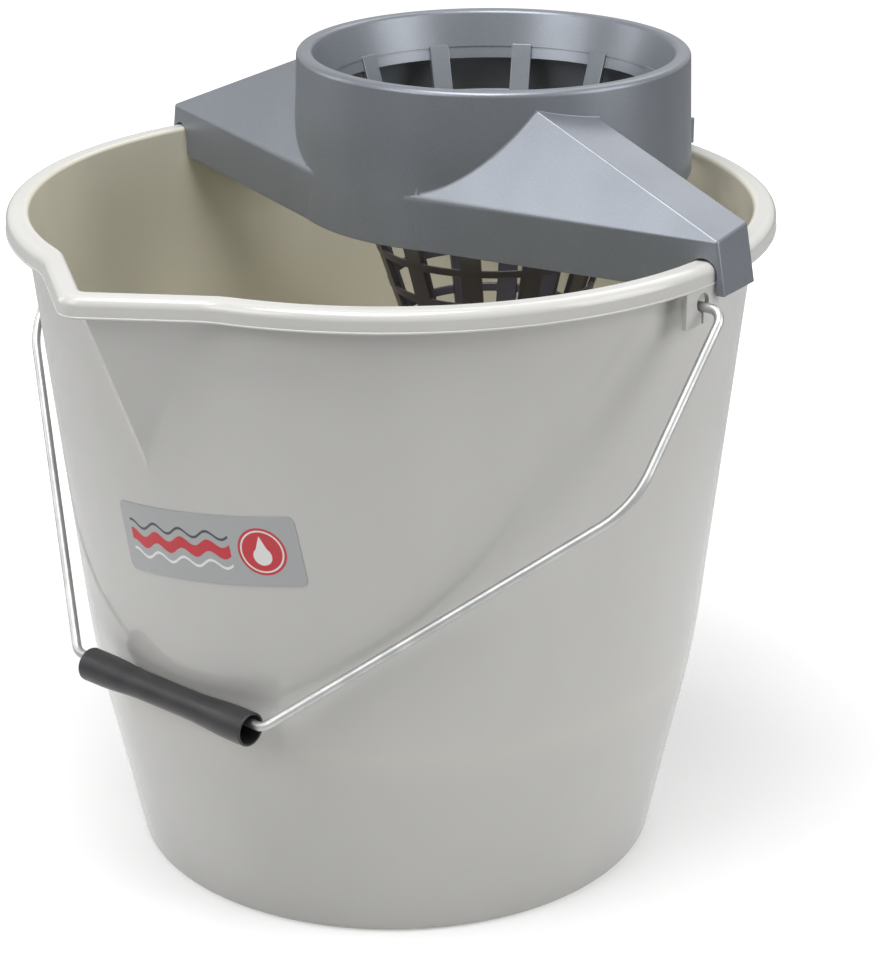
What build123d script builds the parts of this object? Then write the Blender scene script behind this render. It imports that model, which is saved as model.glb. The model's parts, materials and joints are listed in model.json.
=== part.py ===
from build123d import *
import os
from math import acos, asin, atan, atan2, cos, hypot, radians, sin, sqrt, tan

# Mop bucket with a wringer that sits on its rim. Millimetres.
# X runs through the two bail ears, the pouring spout points to -Y and Z is up.
# The origin is the middle of the base, on the floor.

# Bucket
bucket_h = 295.2            # floor to the top of the rim
rim_overhang = 8.4          # rim's outer skirt beyond the wall's neck
rim_drop = 8.7              # height of the rim's outer skirt
rim_skirt_t = 2.2           # thickness of that skirt
rim_top_t = 2.6             # thickness of the rim's top
rim_crown_r = 4.0           # outer rounding of the rim's top
rim_mouth_r = 1.8           # inner rounding of the rim's top
neck_r = 156.6              # outer radius of the wall just below the rim
knee_r = 136.7              # outer radius where the wall turns in towards the base
knee_z = 93.0
knee_blend_r = 420.0
base_r = 117.6
base_edge_r = 4.0
wall_t = 2.5
floor_t = 3.0

# Pouring spout, a V with its ridge leaning outward
spout_out = 26.3            # rim's radius to the point where its two flanks would meet
spout_flank_angle = 34.9    # flank's angle to X, degrees
spout_tip_r = 11.0
spout_blend_r = 45.0
spout_lip_r = 6.0           # rounding of the channel inside the V
spout_lean = 23.2           # ridge's angle to the vertical, degrees
spout_shoulder = 9.5        # rim's flank to the V's own wall, level with the skirt's edge
spout_fold_r = 20.0         # soft fold between each flank and the wall

# Bail ears, flat tongues that hang from the rim's skirt
ear_w = 22.0
ear_t = 2.5
ear_drop = 14.9             # below the skirt's edge
ear_hole_r = 4.0
ear_slit_w = 1.2            # slit that the wire is sprung through

# Bail wire, in its own plane through the two ears
wire_d = 4.0
pivot_drop = 16.2           # rim's top down to the wire in the ear
bail_stand_off = 9.5        # ear's outer face to the middle of the wire beside it
bail_leg = 86.5             # ear to the first bend
bail_reach = 219.9          # ear to the straight run in the grip
bail_run_spare = 5.2        # that run's corner past the end of the grip
bail_tail = 3.5             # end of the wire past the inside of the ear
bail_ear_bend_r = 6.0
bail_leg_bend_r = 14.0
bail_grip_bend_r = 8.0

# Grip, a loose tube with thicker ends
grip_len = 96.0
grip_end_r = 7.3
grip_mid_r = 6.1
grip_end_len = 12.0
grip_taper_len = 20.0
grip_soften_r = 60.0
grip_bore_r = 4.8
grip_mouth_r = 5.9
grip_mouth_len = 12.0
grip_edge_r = 0.6
grip_slip = 2.3             # where it has slid to along the wire

# Label, a film on the wall
label_w = 88.7
label_h = 30.8
label_t = 0.2
label_corner_r = 3.0
label_angle = 9.7           # round from the spout, degrees
label_below = 32.3          # foot of the spout's ridge down to the label's middle
label_tilt = 7.4            # right end higher, degrees

# Wringer frame; heights are from the top of the rim
wringer_turn = -3.7         # how the wringer lies round the bucket, degrees
frame_t = 2.5               # wall of the moulding
collar_back_gap = 1.4       # collar's rear to the inside of the bucket
collar_top = 54.2
collar_top_r = 86.6
collar_flare = 2.2          # how much wider the collar is at its foot
collar_lip_r = 2.4
skirt_drop = 14.0           # front edge, below the rim's top
rear_skirt_z = 1.5          # edge of the skirt behind the wings
rear_skirt_ahead = 17.8     # where that edge starts, ahead of the collar's axis
end_cover = 1.6             # how far a wing's end stands outside the rim, level with its top
end_angle = 10.7            # end's direction round from X, degrees
end_w = 26.1
end_drop = 13.3
end_splay = 10.2            # end's lean to the vertical, degrees
landing_z = 8.9             # level top of a wing's end
landing_len = 4.0           # from the end's top edge to where the strip starts to climb
strip_slope = 22.8          # degrees
strip_root_angle = 16.2     # where the strip's rear edge runs into the collar, round from X, degrees
flank_lean = 29.2           # flank's lean to the vertical above the landing's level, degrees
wing_edge_r = 1.6
hook_half_w = 29.0
hook_gap = 1.5              # behind the rim
hook_t = 4.0
hook_lip_t = 3.0
hook_lip_drop = 8.0
hook_rib_t = 3.0
hook_rib_x = 20.0

# Wringer basket, bars and hoops round a cone
basket_top = 39.6           # under the collar's inner ring
collar_ring_w = 9.2        # collar's outside to the basket's outside, at their tops
basket_cone = 18.5          # half angle, degrees
basket_drop = 86.0          # underside of the basket's floor
bar_count = 12
bar_turn = 3.0              # how the bars lie round the basket, degrees
bar_w = 9.2
bar_t = 2.6
hoop_t = 1.5
slot_top = 33.0             # top edge of the first row of slots
slot_h = 13.6
hoop_h = 3.6
basket_floor_t = 3.0
drain_r = 4.0
drain_ring_r = 17.0
drain_count = 6

# Clearances
rest_gap = 0.3              # between pieces that lie on each other
slot_side_gap = 0.7         # each side of the rim in the wringer's slots
glue_t = 0.05               # between the label and the wall

wire_r = wire_d / 2
rim_r = neck_r + rim_overhang
spout_reach = rim_r + spout_out

# The wall is two cones with a soft knee
rim_foot_z = bucket_h - rim_drop
wall_slope = (neck_r - knee_r) / (rim_foot_z - knee_z)
foot_slope = (knee_r - base_r) / knee_z
wall_inset = wall_t * sqrt(1 + wall_slope**2)
foot_inset = wall_t * sqrt(1 + foot_slope**2)


def wall_radius(z):
    """Outer radius of the wall above the knee."""
    return knee_r + wall_slope * (z - knee_z)


# The spout's two flanks meet in a ridge that leans outward
flank_rise = tan(radians(spout_flank_angle))
ridge_run = tan(radians(spout_lean))
ridge_dir = Vector(0, -ridge_run, 1)
ridge_foot_y = spout_reach - spout_shoulder * sqrt(1 + flank_rise**2)
spout_inset = wall_t * sqrt(1 + flank_rise**2 + ridge_run**2)
spout_depth = rim_drop + 2 * (ridge_foot_y - neck_r) / ridge_run
spout_foot_z = rim_foot_z - (ridge_foot_y - neck_r) / (ridge_run - wall_slope)


def ridge_y(z):
    """How far the outer ridge stands out from the axis."""
    return ridge_foot_y + ridge_run * (z - rim_foot_z)


def spout_corners(apex):
    """A triangle with its point at -Y, deep enough to end inside the wall."""
    depth = (spout_reach - rim_r) * 2
    half_w = depth / flank_rise
    return [(0, -apex), (half_w, depth - apex), (-half_w, depth - apex)]


def pot_form(floor_z, top_z, spout_z, foot_in, wall_in, spout_in, tip_r, fold_r):
    """The bucket's solid form with its spout, drawn in by the given insets."""
    with BuildPart() as form:
        with BuildSketch(Plane.XZ):
            with BuildLine():
                wall = FilletPolyline(
                    (0, floor_z),
                    (base_r + foot_slope * floor_z - foot_in, floor_z),
                    (knee_r - wall_in, knee_z),
                    (wall_radius(top_z) - wall_in, top_z),
                    radius=[base_edge_r, knee_blend_r],
                )
                Polyline(wall @ 1, (0, top_z), wall @ 0)
            make_face()
        revolve(axis=Axis.Z)
        with BuildSketch(Plane.XY.offset(spout_z)) as spout:
            Polygon(*spout_corners(ridge_y(spout_z) - spout_in), align=None)
            if tip_r > 0:
                fillet(spout.vertices().sort_by(Axis.Y)[0], tip_r)
        extrude(amount=spout_depth * ridge_dir.length, dir=-ridge_dir)
        folds = form.edges().filter_by(lambda e: e.geom_type not in (GeomType.LINE, GeomType.CIRCLE))
        fillet(folds, fold_r)
    return form.part


with BuildPart() as rim:
    with BuildSketch(Plane.XY.offset(rim_foot_z)) as rim_plan:
        Circle(rim_r)
        Polygon(*spout_corners(spout_reach), align=None)
        fillet(rim_plan.vertices().sort_by(Axis.Y)[0], spout_tip_r)
        fillet(rim_plan.vertices().sort_by(Axis.Y)[2:4], spout_blend_r)
    extrude(amount=rim_drop)
    fillet(rim.faces().sort_by(Axis.Z)[-1].edges(), rim_crown_r)
    with BuildSketch(Plane.XY.offset(rim_foot_z)):
        add(rim_plan.sketch_local)
        offset(amount=-rim_skirt_t, mode=Mode.REPLACE)
    extrude(amount=rim_drop - rim_top_t, mode=Mode.SUBTRACT)

wall_form = pot_form(0, bucket_h - rim_top_t, bucket_h - rim_crown_r, 0, 0, 0, 0, spout_fold_r)
cavity_form = pot_form(
    floor_t, bucket_h, bucket_h, foot_inset, wall_inset, spout_inset, spout_lip_r, spout_fold_r + wall_t
)

pivot_z = bucket_h - pivot_drop
ear_hole_z = pivot_z + ear_hole_r - wire_r - rest_gap
ear_foot_z = rim_foot_z - ear_drop

with BuildPart() as bucket:
    add(rim.part)
    add(wall_form)
    add(cavity_form, mode=Mode.SUBTRACT)
    top_face = bucket.faces().filter_by(Axis.Z).sort_by(Axis.Z)[-1]
    fillet(top_face.inner_wires()[0].edges(), rim_mouth_r)
    for side in (1, -1):
        with BuildSketch(Plane.YZ.offset(side * rim_r)):
            with Locations((0, (ear_foot_z + bucket_h - rim_crown_r) / 2)):
                Rectangle(ear_w, bucket_h - rim_crown_r - ear_foot_z)
            with Locations((0, ear_hole_z)):
                Circle(ear_hole_r, mode=Mode.SUBTRACT)
            with Locations((0, (ear_foot_z + ear_hole_z) / 2)):
                Rectangle(ear_slit_w, ear_hole_z - ear_foot_z, mode=Mode.SUBTRACT)
        extrude(amount=-side * ear_t)
bucket.part.label = "bucket"

# The bail hangs against the wall: its plane leans until the grip meets the wall
grip_offset = grip_bore_r - wire_r - rest_gap
grip_reach = bail_reach + grip_offset
grip_stand_off = (grip_mid_r + rest_gap) * sqrt(1 + wall_slope**2)
bail_hang = asin((wall_radius(pivot_z) + grip_stand_off) / (grip_reach * sqrt(1 + wall_slope**2)))
bail_hang = bail_hang - atan(wall_slope)
bail_plane = Plane(
    origin=(0, 0, pivot_z), x_dir=(1, 0, 0), z_dir=(0, cos(bail_hang), -sin(bail_hang))
)
bail_tail_x = rim_r - ear_t - bail_tail
bail_half_w = rim_r + bail_stand_off
bail_run_half_w = grip_len / 2 + grip_slip + bail_run_spare

with BuildPart() as bail_wire:
    with BuildLine(bail_plane) as route:
        FilletPolyline(
            (-bail_tail_x, 0),
            (-bail_half_w, 0),
            (-bail_half_w, bail_leg),
            (-bail_run_half_w, bail_reach),
            (bail_run_half_w, bail_reach),
            (bail_half_w, bail_leg),
            (bail_half_w, 0),
            (bail_tail_x, 0),
            radius=[
                bail_ear_bend_r,
                bail_leg_bend_r,
                bail_grip_bend_r,
                bail_grip_bend_r,
                bail_leg_bend_r,
                bail_ear_bend_r,
            ],
        )
    with BuildSketch(Plane(origin=route.line @ 0, z_dir=route.line % 0)):
        Circle(wire_r)
    sweep(path=route.line)
bail_wire.part.label = "bail_wire"

grip_plane = Plane(
    origin=bail_plane.from_local_coords((grip_slip, grip_reach, 0)),
    x_dir=bail_plane.x_dir,
    z_dir=bail_plane.z_dir,
)
grip_axis = Axis(grip_plane.origin, grip_plane.x_dir)

with BuildPart() as grip:
    half = grip_len / 2
    taper_x = half - grip_end_len
    waist_x = taper_x - grip_taper_len
    mouth_x = half - grip_mouth_len
    with BuildSketch(grip_plane):
        with BuildLine():
            outside = FilletPolyline(
                (-half, grip_mouth_r),
                (-half, grip_end_r),
                (-taper_x, grip_end_r),
                (-waist_x, grip_mid_r),
                (waist_x, grip_mid_r),
                (taper_x, grip_end_r),
                (half, grip_end_r),
                (half, grip_mouth_r),
                radius=[
                    grip_edge_r,
                    grip_soften_r,
                    grip_soften_r,
                    grip_soften_r,
                    grip_soften_r,
                    grip_edge_r,
                ],
            )
            Polyline(outside @ 1, (mouth_x, grip_bore_r), (-mouth_x, grip_bore_r), outside @ 0)
        make_face()
    revolve(axis=grip_axis)
grip.part.label = "grip"

# The label follows the wall's cone
label_dir = radians(label_angle)
label_tip = radians(label_tilt)
label_z = spout_foot_z - label_below
label_plane = Plane(
    origin=(neck_r * sin(label_dir), -neck_r * cos(label_dir), label_z),
    x_dir=(cos(label_tip) * cos(label_dir), cos(label_tip) * sin(label_dir), sin(label_tip)),
    z_dir=(sin(label_dir), -cos(label_dir), 0),
)

with BuildPart() as label:
    with BuildSketch(Plane.XZ):
        with BuildLine():
            low, high = label_z - label_h, label_z + label_h
            Polyline(
                (wall_radius(low) + glue_t, low),
                (wall_radius(low) + glue_t + label_t, low),
                (wall_radius(high) + glue_t + label_t, high),
                (wall_radius(high) + glue_t, high),
                close=True,
            )
        make_face()
    revolve(axis=Axis.Z)
    with BuildSketch(label_plane):
        RectangleRounded(label_w, label_h, label_corner_r)
    extrude(amount=-neck_r, mode=Mode.INTERSECT)
label.part.label = "label"

# The wringer's own frame: its origin is on the bucket's axis, level with the rim's top
seat = Location((0, 0, bucket_h), (0, 0, wringer_turn))


def on_seat(plane):
    """A plane given in the wringer's frame, placed on the bucket."""
    return Plane(seat * plane.location)


collar_foot_r = collar_top_r + collar_flare
collar_y = wall_radius(bucket_h - skirt_drop) - wall_inset - collar_back_gap - collar_foot_r
collar_section = on_seat(Plane.XZ.offset(-collar_y))
collar_axis = Axis(collar_section.origin, (0, 0, 1))


def collar_radius(z):
    """Outer radius of the collar, which narrows a little towards its top."""
    return collar_foot_r - (collar_foot_r - collar_top_r) * (z + skirt_drop) / (collar_top + skirt_drop)


basket_top_r = collar_top_r - collar_ring_w


def cone_radius(z):
    """Outer radius of the basket's cone."""
    return basket_top_r + tan(radians(basket_cone)) * (z - basket_top)


bar_inset = bar_t / cos(radians(basket_cone))
hoop_inset = hoop_t / cos(radians(basket_cone))

# Corners of a wing's end, and the wall that runs from it to touch the collar
end_r = rim_r + end_cover - landing_z * tan(radians(end_splay))
landing_x = end_r - landing_len
end_dir = Vector(cos(radians(end_angle)), sin(radians(end_angle)))
end_across = Vector(-end_dir.Y, end_dir.X)
end_near = end_dir * end_r - end_across * (end_w / 2)
end_far = end_dir * end_r + end_across * (end_w / 2)
touch_r = collar_radius(landing_z)
touch_angle = atan2(end_near.Y - collar_y, end_near.X)
touch_angle = touch_angle - acos(touch_r / hypot(end_near.X, end_near.Y - collar_y))
touch = Vector(touch_r * cos(touch_angle), collar_y + touch_r * sin(touch_angle))
front_dir = (end_near - touch).normalized()
strip_root = Vector(
    collar_foot_r * cos(radians(strip_root_angle)), collar_y - collar_foot_r * sin(radians(strip_root_angle))
)
rear_dir = (end_far - strip_root).normalized()
front_out = Vector(front_dir.Y, -front_dir.X)
flank_normal = front_out * cos(radians(flank_lean)) + Vector(0, 0, sin(radians(flank_lean)))
end_normal = end_dir * cos(radians(end_splay)) + Vector(0, 0, sin(radians(end_splay)))
wing_len = end_r * 1.2


def is_open_edge(edge):
    """Tell whether an edge of a wing lies outside the collar and above the wing's foot."""
    middle_point = edge.center() - collar_axis.position
    outside = hypot(middle_point.X, middle_point.Y) > collar_foot_r
    return outside and edge.center().Z > bucket_h - end_drop / 2


def wing_form(inset):
    """One wing as a solid, with every face drawn in by the inset."""
    foot_z = -skirt_drop - 2 * inset
    end_foot_z = -end_drop - 2 * inset
    crest_z = collar_top - frame_t
    crest_x = landing_x - (crest_z - landing_z) / tan(radians(strip_slope))
    far_near = end_near + front_dir * (wing_len - end_r)
    far_rear = end_far + rear_dir * (wing_len - end_r)
    root_rear = end_far - rear_dir * (end_r - touch.X)
    inner_x = rim_r - rim_drop / 2
    with BuildPart() as form:
        with BuildSketch(on_seat(Plane.XZ)):
            Polygon(
                (0, foot_z),
                (inner_x, foot_z),
                (inner_x, end_foot_z),
                (wing_len, end_foot_z),
                (wing_len, landing_z),
                (landing_x, landing_z),
                (crest_x, crest_z),
                (0, crest_z),
                align=None,
            )
            if inset > 0:
                offset(amount=-inset, kind=Kind.INTERSECTION, mode=Mode.REPLACE)
        extrude(amount=wing_len, both=True)
        with BuildSketch(on_seat(Plane.XY.offset(foot_z))):
            Polygon(
                (touch.X, touch.Y),
                (far_near.X, far_near.Y),
                (far_rear.X, far_rear.Y),
                (root_rear.X, root_rear.Y),
                align=None,
            )
            if inset > 0:
                offset(amount=-inset, kind=Kind.INTERSECTION, mode=Mode.REPLACE)
        extrude(amount=2 * wing_len, mode=Mode.INTERSECT)
        flank_at = Vector(touch.X, touch.Y, landing_z) - flank_normal * inset
        split(bisect_by=on_seat(Plane(flank_at, z_dir=flank_normal)), keep=Keep.BOTTOM)
        end_at = Vector(end_dir.X * end_r, end_dir.Y * end_r, landing_z) - end_normal * inset
        split(bisect_by=on_seat(Plane(end_at, z_dir=end_normal)), keep=Keep.BOTTOM)
        if inset == 0:
            fillet(form.edges().filter_by(is_open_edge), wing_edge_r)
    return form.part


wing = wing_form(0)
wing_hollow = wing_form(frame_t)
middle = on_seat(Plane.YZ)

with BuildPart() as wringer_frame:
    add(wing)
    add(wing.mirror(middle))
    add(wing_hollow, mode=Mode.SUBTRACT)
    add(wing_hollow.mirror(middle), mode=Mode.SUBTRACT)
    hook_y = rim_r + hook_gap
    with BuildSketch(on_seat(Plane.XY.offset(landing_z))):
        with Locations((0, (collar_y + hook_y + hook_lip_t) / 2)):
            Rectangle(2 * hook_half_w, hook_y + hook_lip_t - collar_y)
    extrude(amount=-hook_t)
    with BuildSketch(on_seat(Plane.XY.offset(landing_z - hook_t))):
        with Locations((0, hook_y + hook_lip_t / 2)):
            Rectangle(2 * hook_half_w, hook_lip_t)
        with Locations((-hook_rib_x, (collar_y + hook_y) / 2), (hook_rib_x, (collar_y + hook_y) / 2)):
            Rectangle(hook_rib_t, hook_y - collar_y)
    extrude(amount=-hook_lip_drop)
    with BuildSketch(collar_section):
        with BuildLine():
            Polyline(
                (0, -skirt_drop),
                (collar_foot_r, -skirt_drop),
                (collar_top_r, collar_top),
                (0, collar_top),
                close=True,
            )
        make_face()
    revolve(axis=collar_axis, mode=Mode.SUBTRACT)
    lip_z = collar_top - frame_t
    with BuildSketch(collar_section) as collar_wall:
        with BuildLine():
            Polyline(
                (collar_foot_r - frame_t, -skirt_drop),
                (collar_foot_r, -skirt_drop),
                (collar_top_r, collar_top),
                (cone_radius(collar_top) - bar_inset, collar_top),
                (cone_radius(basket_top) - bar_inset, basket_top),
                (cone_radius(basket_top), basket_top),
                (cone_radius(lip_z), lip_z),
                (collar_radius(lip_z) - frame_t, lip_z),
                close=True,
            )
        make_face()
        fillet(collar_wall.vertices().group_by(Axis.Y)[-1], collar_lip_r)
    revolve(axis=collar_axis)
    with BuildSketch(on_seat(Plane.XY.offset(rear_skirt_z))):
        with Locations((0, collar_y - rear_skirt_ahead + collar_foot_r)):
            Rectangle(2 * rim_r, 2 * collar_foot_r)
    extrude(amount=-2 * skirt_drop, mode=Mode.SUBTRACT)
    rim_in_r = wall_radius(bucket_h - skirt_drop) - wall_inset - slot_side_gap
    rim_out_r = rim_r + slot_side_gap
    with BuildSketch(Plane.XZ) as rim_slot:
        with BuildLine():
            FilletPolyline(
                (rim_in_r, bucket_h - 2 * skirt_drop),
                (rim_in_r, bucket_h + rest_gap),
                (rim_out_r, bucket_h + rest_gap),
                (rim_out_r, bucket_h - 2 * skirt_drop),
                radius=[rim_mouth_r, rim_crown_r],
            )
            Line((rim_out_r, bucket_h - 2 * skirt_drop), (rim_in_r, bucket_h - 2 * skirt_drop))
        make_face()
    revolve(axis=Axis.Z, mode=Mode.SUBTRACT)
wringer_frame.part.label = "wringer_frame"

floor_top = basket_floor_t - basket_drop
floor_top_r = cone_radius(floor_top)

with BuildPart() as wringer_basket:
    with BuildSketch(collar_section):
        with BuildLine():
            Polyline(
                (floor_top_r - bar_inset, floor_top),
                (floor_top_r, floor_top),
                (basket_top_r, basket_top),
                (basket_top_r - bar_inset, basket_top),
                close=True,
            )
        make_face()
    revolve(axis=collar_axis)
    with BuildSketch(on_seat(Plane.XY.offset(floor_top))):
        with Locations((0, collar_y)):
            with PolarLocations(0, bar_count // 2, start_angle=bar_turn, angular_range=180):
                Rectangle(2 * collar_foot_r, bar_w)
    extrude(amount=basket_top - floor_top, mode=Mode.INTERSECT)
    hoop_top, hoop_foot = basket_top, slot_top
    while hoop_foot > floor_top:
        with BuildSketch(collar_section):
            with BuildLine():
                Polyline(
                    (cone_radius(hoop_foot) - hoop_inset, hoop_foot),
                    (cone_radius(hoop_foot), hoop_foot),
                    (cone_radius(hoop_top), hoop_top),
                    (cone_radius(hoop_top) - hoop_inset, hoop_top),
                    close=True,
                )
            make_face()
        revolve(axis=collar_axis)
        hoop_top = hoop_foot - slot_h
        hoop_foot = hoop_top - hoop_h
    # Cut between the bars into staves, each a bar with half of the hoops on either side
    stave_angle = 360 / bar_count
    for index in range(bar_count // 2):
        cut_angle = radians(wringer_turn + bar_turn + stave_angle * (index + 0.5))
        across = Vector(-sin(cut_angle), cos(cut_angle), 0)
        split(bisect_by=Plane(collar_section.origin, z_dir=across), keep=Keep.BOTH)
wringer_basket.part.label = "wringer_basket"

with BuildPart() as basket_floor:
    with BuildSketch(collar_section):
        with BuildLine():
            Polyline(
                (0, -basket_drop),
                (cone_radius(-basket_drop), -basket_drop),
                (floor_top_r, floor_top),
                (0, floor_top),
                close=True,
            )
        make_face()
    revolve(axis=collar_axis)
    with BuildSketch(on_seat(Plane.XY.offset(-basket_drop))):
        with Locations((0, collar_y)):
            Circle(drain_r)
            with PolarLocations(drain_ring_r, drain_count):
                Circle(drain_r)
    extrude(amount=basket_floor_t, mode=Mode.SUBTRACT)
basket_floor.part.label = "basket_floor"

os.makedirs("parts", exist_ok=True)
for piece in (bucket, label, bail_wire, grip, wringer_frame, wringer_basket, basket_floor):
    export_step(piece.part, f"parts/{piece.part.label}.step")
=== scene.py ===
"""Looks of a household mop bucket with a wringer that sits on its rim."""

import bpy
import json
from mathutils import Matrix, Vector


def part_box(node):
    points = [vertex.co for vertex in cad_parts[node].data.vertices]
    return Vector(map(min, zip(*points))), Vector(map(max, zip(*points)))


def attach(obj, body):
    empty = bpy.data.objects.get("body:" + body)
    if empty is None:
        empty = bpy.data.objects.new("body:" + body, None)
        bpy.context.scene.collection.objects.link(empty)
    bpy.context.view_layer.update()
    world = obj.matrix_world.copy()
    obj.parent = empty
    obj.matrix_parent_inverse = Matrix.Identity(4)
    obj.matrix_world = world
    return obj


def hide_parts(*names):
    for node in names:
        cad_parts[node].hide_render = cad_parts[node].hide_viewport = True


bl_info = {
    "name": "Mop Bucket and Wringer",
    "version": (1, 0, 0),
    "blender": (4, 5, 0),
    "location": "View3D > Sidebar > Mop Bucket",
    "description": "Builds the finished bucket, wringer, bail, grip and label on the packed frame",
    "category": "Object",
}

import json
from collections import namedtuple
from math import acos, asin, atan, atan2, cos, hypot, pi, radians, sin, sqrt, tan

import bmesh
import bpy
from bpy.props import FloatProperty, FloatVectorProperty, IntProperty, PointerProperty
from mathutils import Matrix, Vector

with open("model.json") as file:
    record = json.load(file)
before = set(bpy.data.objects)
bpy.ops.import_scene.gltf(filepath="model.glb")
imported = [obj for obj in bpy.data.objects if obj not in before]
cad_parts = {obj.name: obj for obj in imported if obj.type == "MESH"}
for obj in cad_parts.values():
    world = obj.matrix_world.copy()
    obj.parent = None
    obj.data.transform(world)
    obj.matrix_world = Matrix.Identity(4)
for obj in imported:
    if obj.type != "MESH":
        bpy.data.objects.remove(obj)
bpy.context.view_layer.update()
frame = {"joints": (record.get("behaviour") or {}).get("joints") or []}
JOINTS = {joint["name"]: joint for joint in frame["joints"]}
PIVOT = Vector(JOINTS["bail_swing"]["pos_m"])
GRIP_AXIS = Vector(JOINTS["grip_spin"]["pos_m"])
BUCKET_LOW, BUCKET_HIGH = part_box("bucket")
FRAME_LOW, FRAME_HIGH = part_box("wringer_frame")
BASKET_LOW, BASKET_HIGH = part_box("wringer_basket")
FLOOR_LOW, FLOOR_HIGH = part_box("basket_floor")
LABEL_LOW, LABEL_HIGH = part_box("label")
WIRE_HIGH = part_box("bail_wire")[1]
GRIP_LOW, GRIP_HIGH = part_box("grip")
WELD = 2e-6
TURN_STEPS = 240
BEVEL_STEPS = 2
BEVEL_TURN = radians(35)
BASKET_BEVEL_TURN = radians(40)
WIRE_BEVEL_TURN = radians(60)
WIRE_BEVEL_SHARE = 0.1
# Turn past which an edge of a piece stays sharp
SHARP_TURN = {
    "bucket": radians(38),
    "label": radians(40),
    "wire": radians(50),
    "grip": radians(45),
    "frame": radians(32),
    "basket": radians(45),
}


def length(name, description, default):
    """A size in metres."""
    return FloatProperty(name=name, description=description, default=default, unit="LENGTH", precision=5)


def angle(name, description, degrees):
    """An angle, given in degrees."""
    return FloatProperty(name=name, description=description, default=radians(degrees), subtype="ANGLE")


def amount(name, description, default):
    """A plain number."""
    return FloatProperty(name=name, description=description, default=default, precision=4)


def colour(name, description, default):
    """A linear colour."""
    return FloatVectorProperty(
        name=name, description=description, default=default, size=3, subtype="COLOR", min=0, max=1
    )


class BucketSizes(bpy.types.PropertyGroup):
    """Sizes of the bucket's moulding."""

    neck_radius: length("Neck radius", "Outside of the wall level with the skirt's edge", 0.1566)
    knee_radius: length("Knee radius", "Outside of the wall where it turns in to the base", 0.1367)
    knee_height: length("Knee height", "Height of that turn", 0.093)
    knee_soft: length("Knee softness", "Half of the height over which the wall turns", 0.022)
    base_radius: length("Base radius", "Outside of the wall at the floor", 0.1176)
    base_edge: length("Base edge", "Rounding between the base and the wall", 0.004)
    foot_width: length("Foot ring", "Width of the ring that the bucket stands on", 0.011)
    foot_recess: length("Foot recess", "How far the base is raised inside that ring", 0.001)
    wall: length("Wall", "Thickness of the wall", 0.0025)
    floor: length("Floor", "Thickness of the bottom", 0.003)
    rim_drop: length("Rim drop", "Height of the rim's skirt", 0.0087)
    rim_skirt: length("Rim skirt", "Thickness of the skirt", 0.0022)
    rim_top: length("Rim top", "Thickness of the rim's top", 0.0026)
    rim_crown: length("Rim crown", "Outer rounding of the rim's top", 0.004)
    rim_mouth: length("Rim mouth", "Inner rounding of the rim's top", 0.0018)
    bead_out: length("Bead", "How far the bead on the skirt's edge stands out", 0.0003)
    bead_height: length("Bead height", "Height of that bead", 0.001)
    flank_angle: angle("Spout flank", "Angle of the spout's flank to the line through the ears", 34.9)
    tip_radius: length("Spout tip", "Rounding of the rim at the spout's point", 0.011)
    blend_radius: length("Spout blend", "Arc from the spout's flank to the round rim", 0.045)
    ridge_radius: length("Spout ridge", "Rounding of the ridge under the spout", 0.0012)
    lip_radius: length("Spout channel", "Rounding of the channel inside the spout", 0.006)
    lean: angle("Spout lean", "Ridge's angle to the vertical", 23.2)
    shoulder: length("Spout shoulder", "Rim's flank to the spout's wall, at the skirt's edge", 0.0095)
    fold: length("Spout fold", "Softness of the fold between flank and wall", 0.0013)
    ear_width: length("Ear width", "Width of a bail ear", 0.022)
    ear_depth: length("Ear thickness", "Thickness of a bail ear", 0.0022)
    ear_inset: length("Ear inset", "Skirt's face to the ear's face", 0.0005)
    ear_drop: length("Ear drop", "Ear's edge below the skirt", 0.0149)
    ear_hole: length("Ear hole", "Radius of the hole for the wire", 0.004)
    ear_hole_rise: length("Ear hole rise", "Middle of the hole above the wire's middle", 0.0017)
    ear_slit: length("Ear slit", "Width of the slit below the hole", 0.0012)
    ear_edge: length("Ear edge", "Rounding of the ear's edges", 0.0003)


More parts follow.
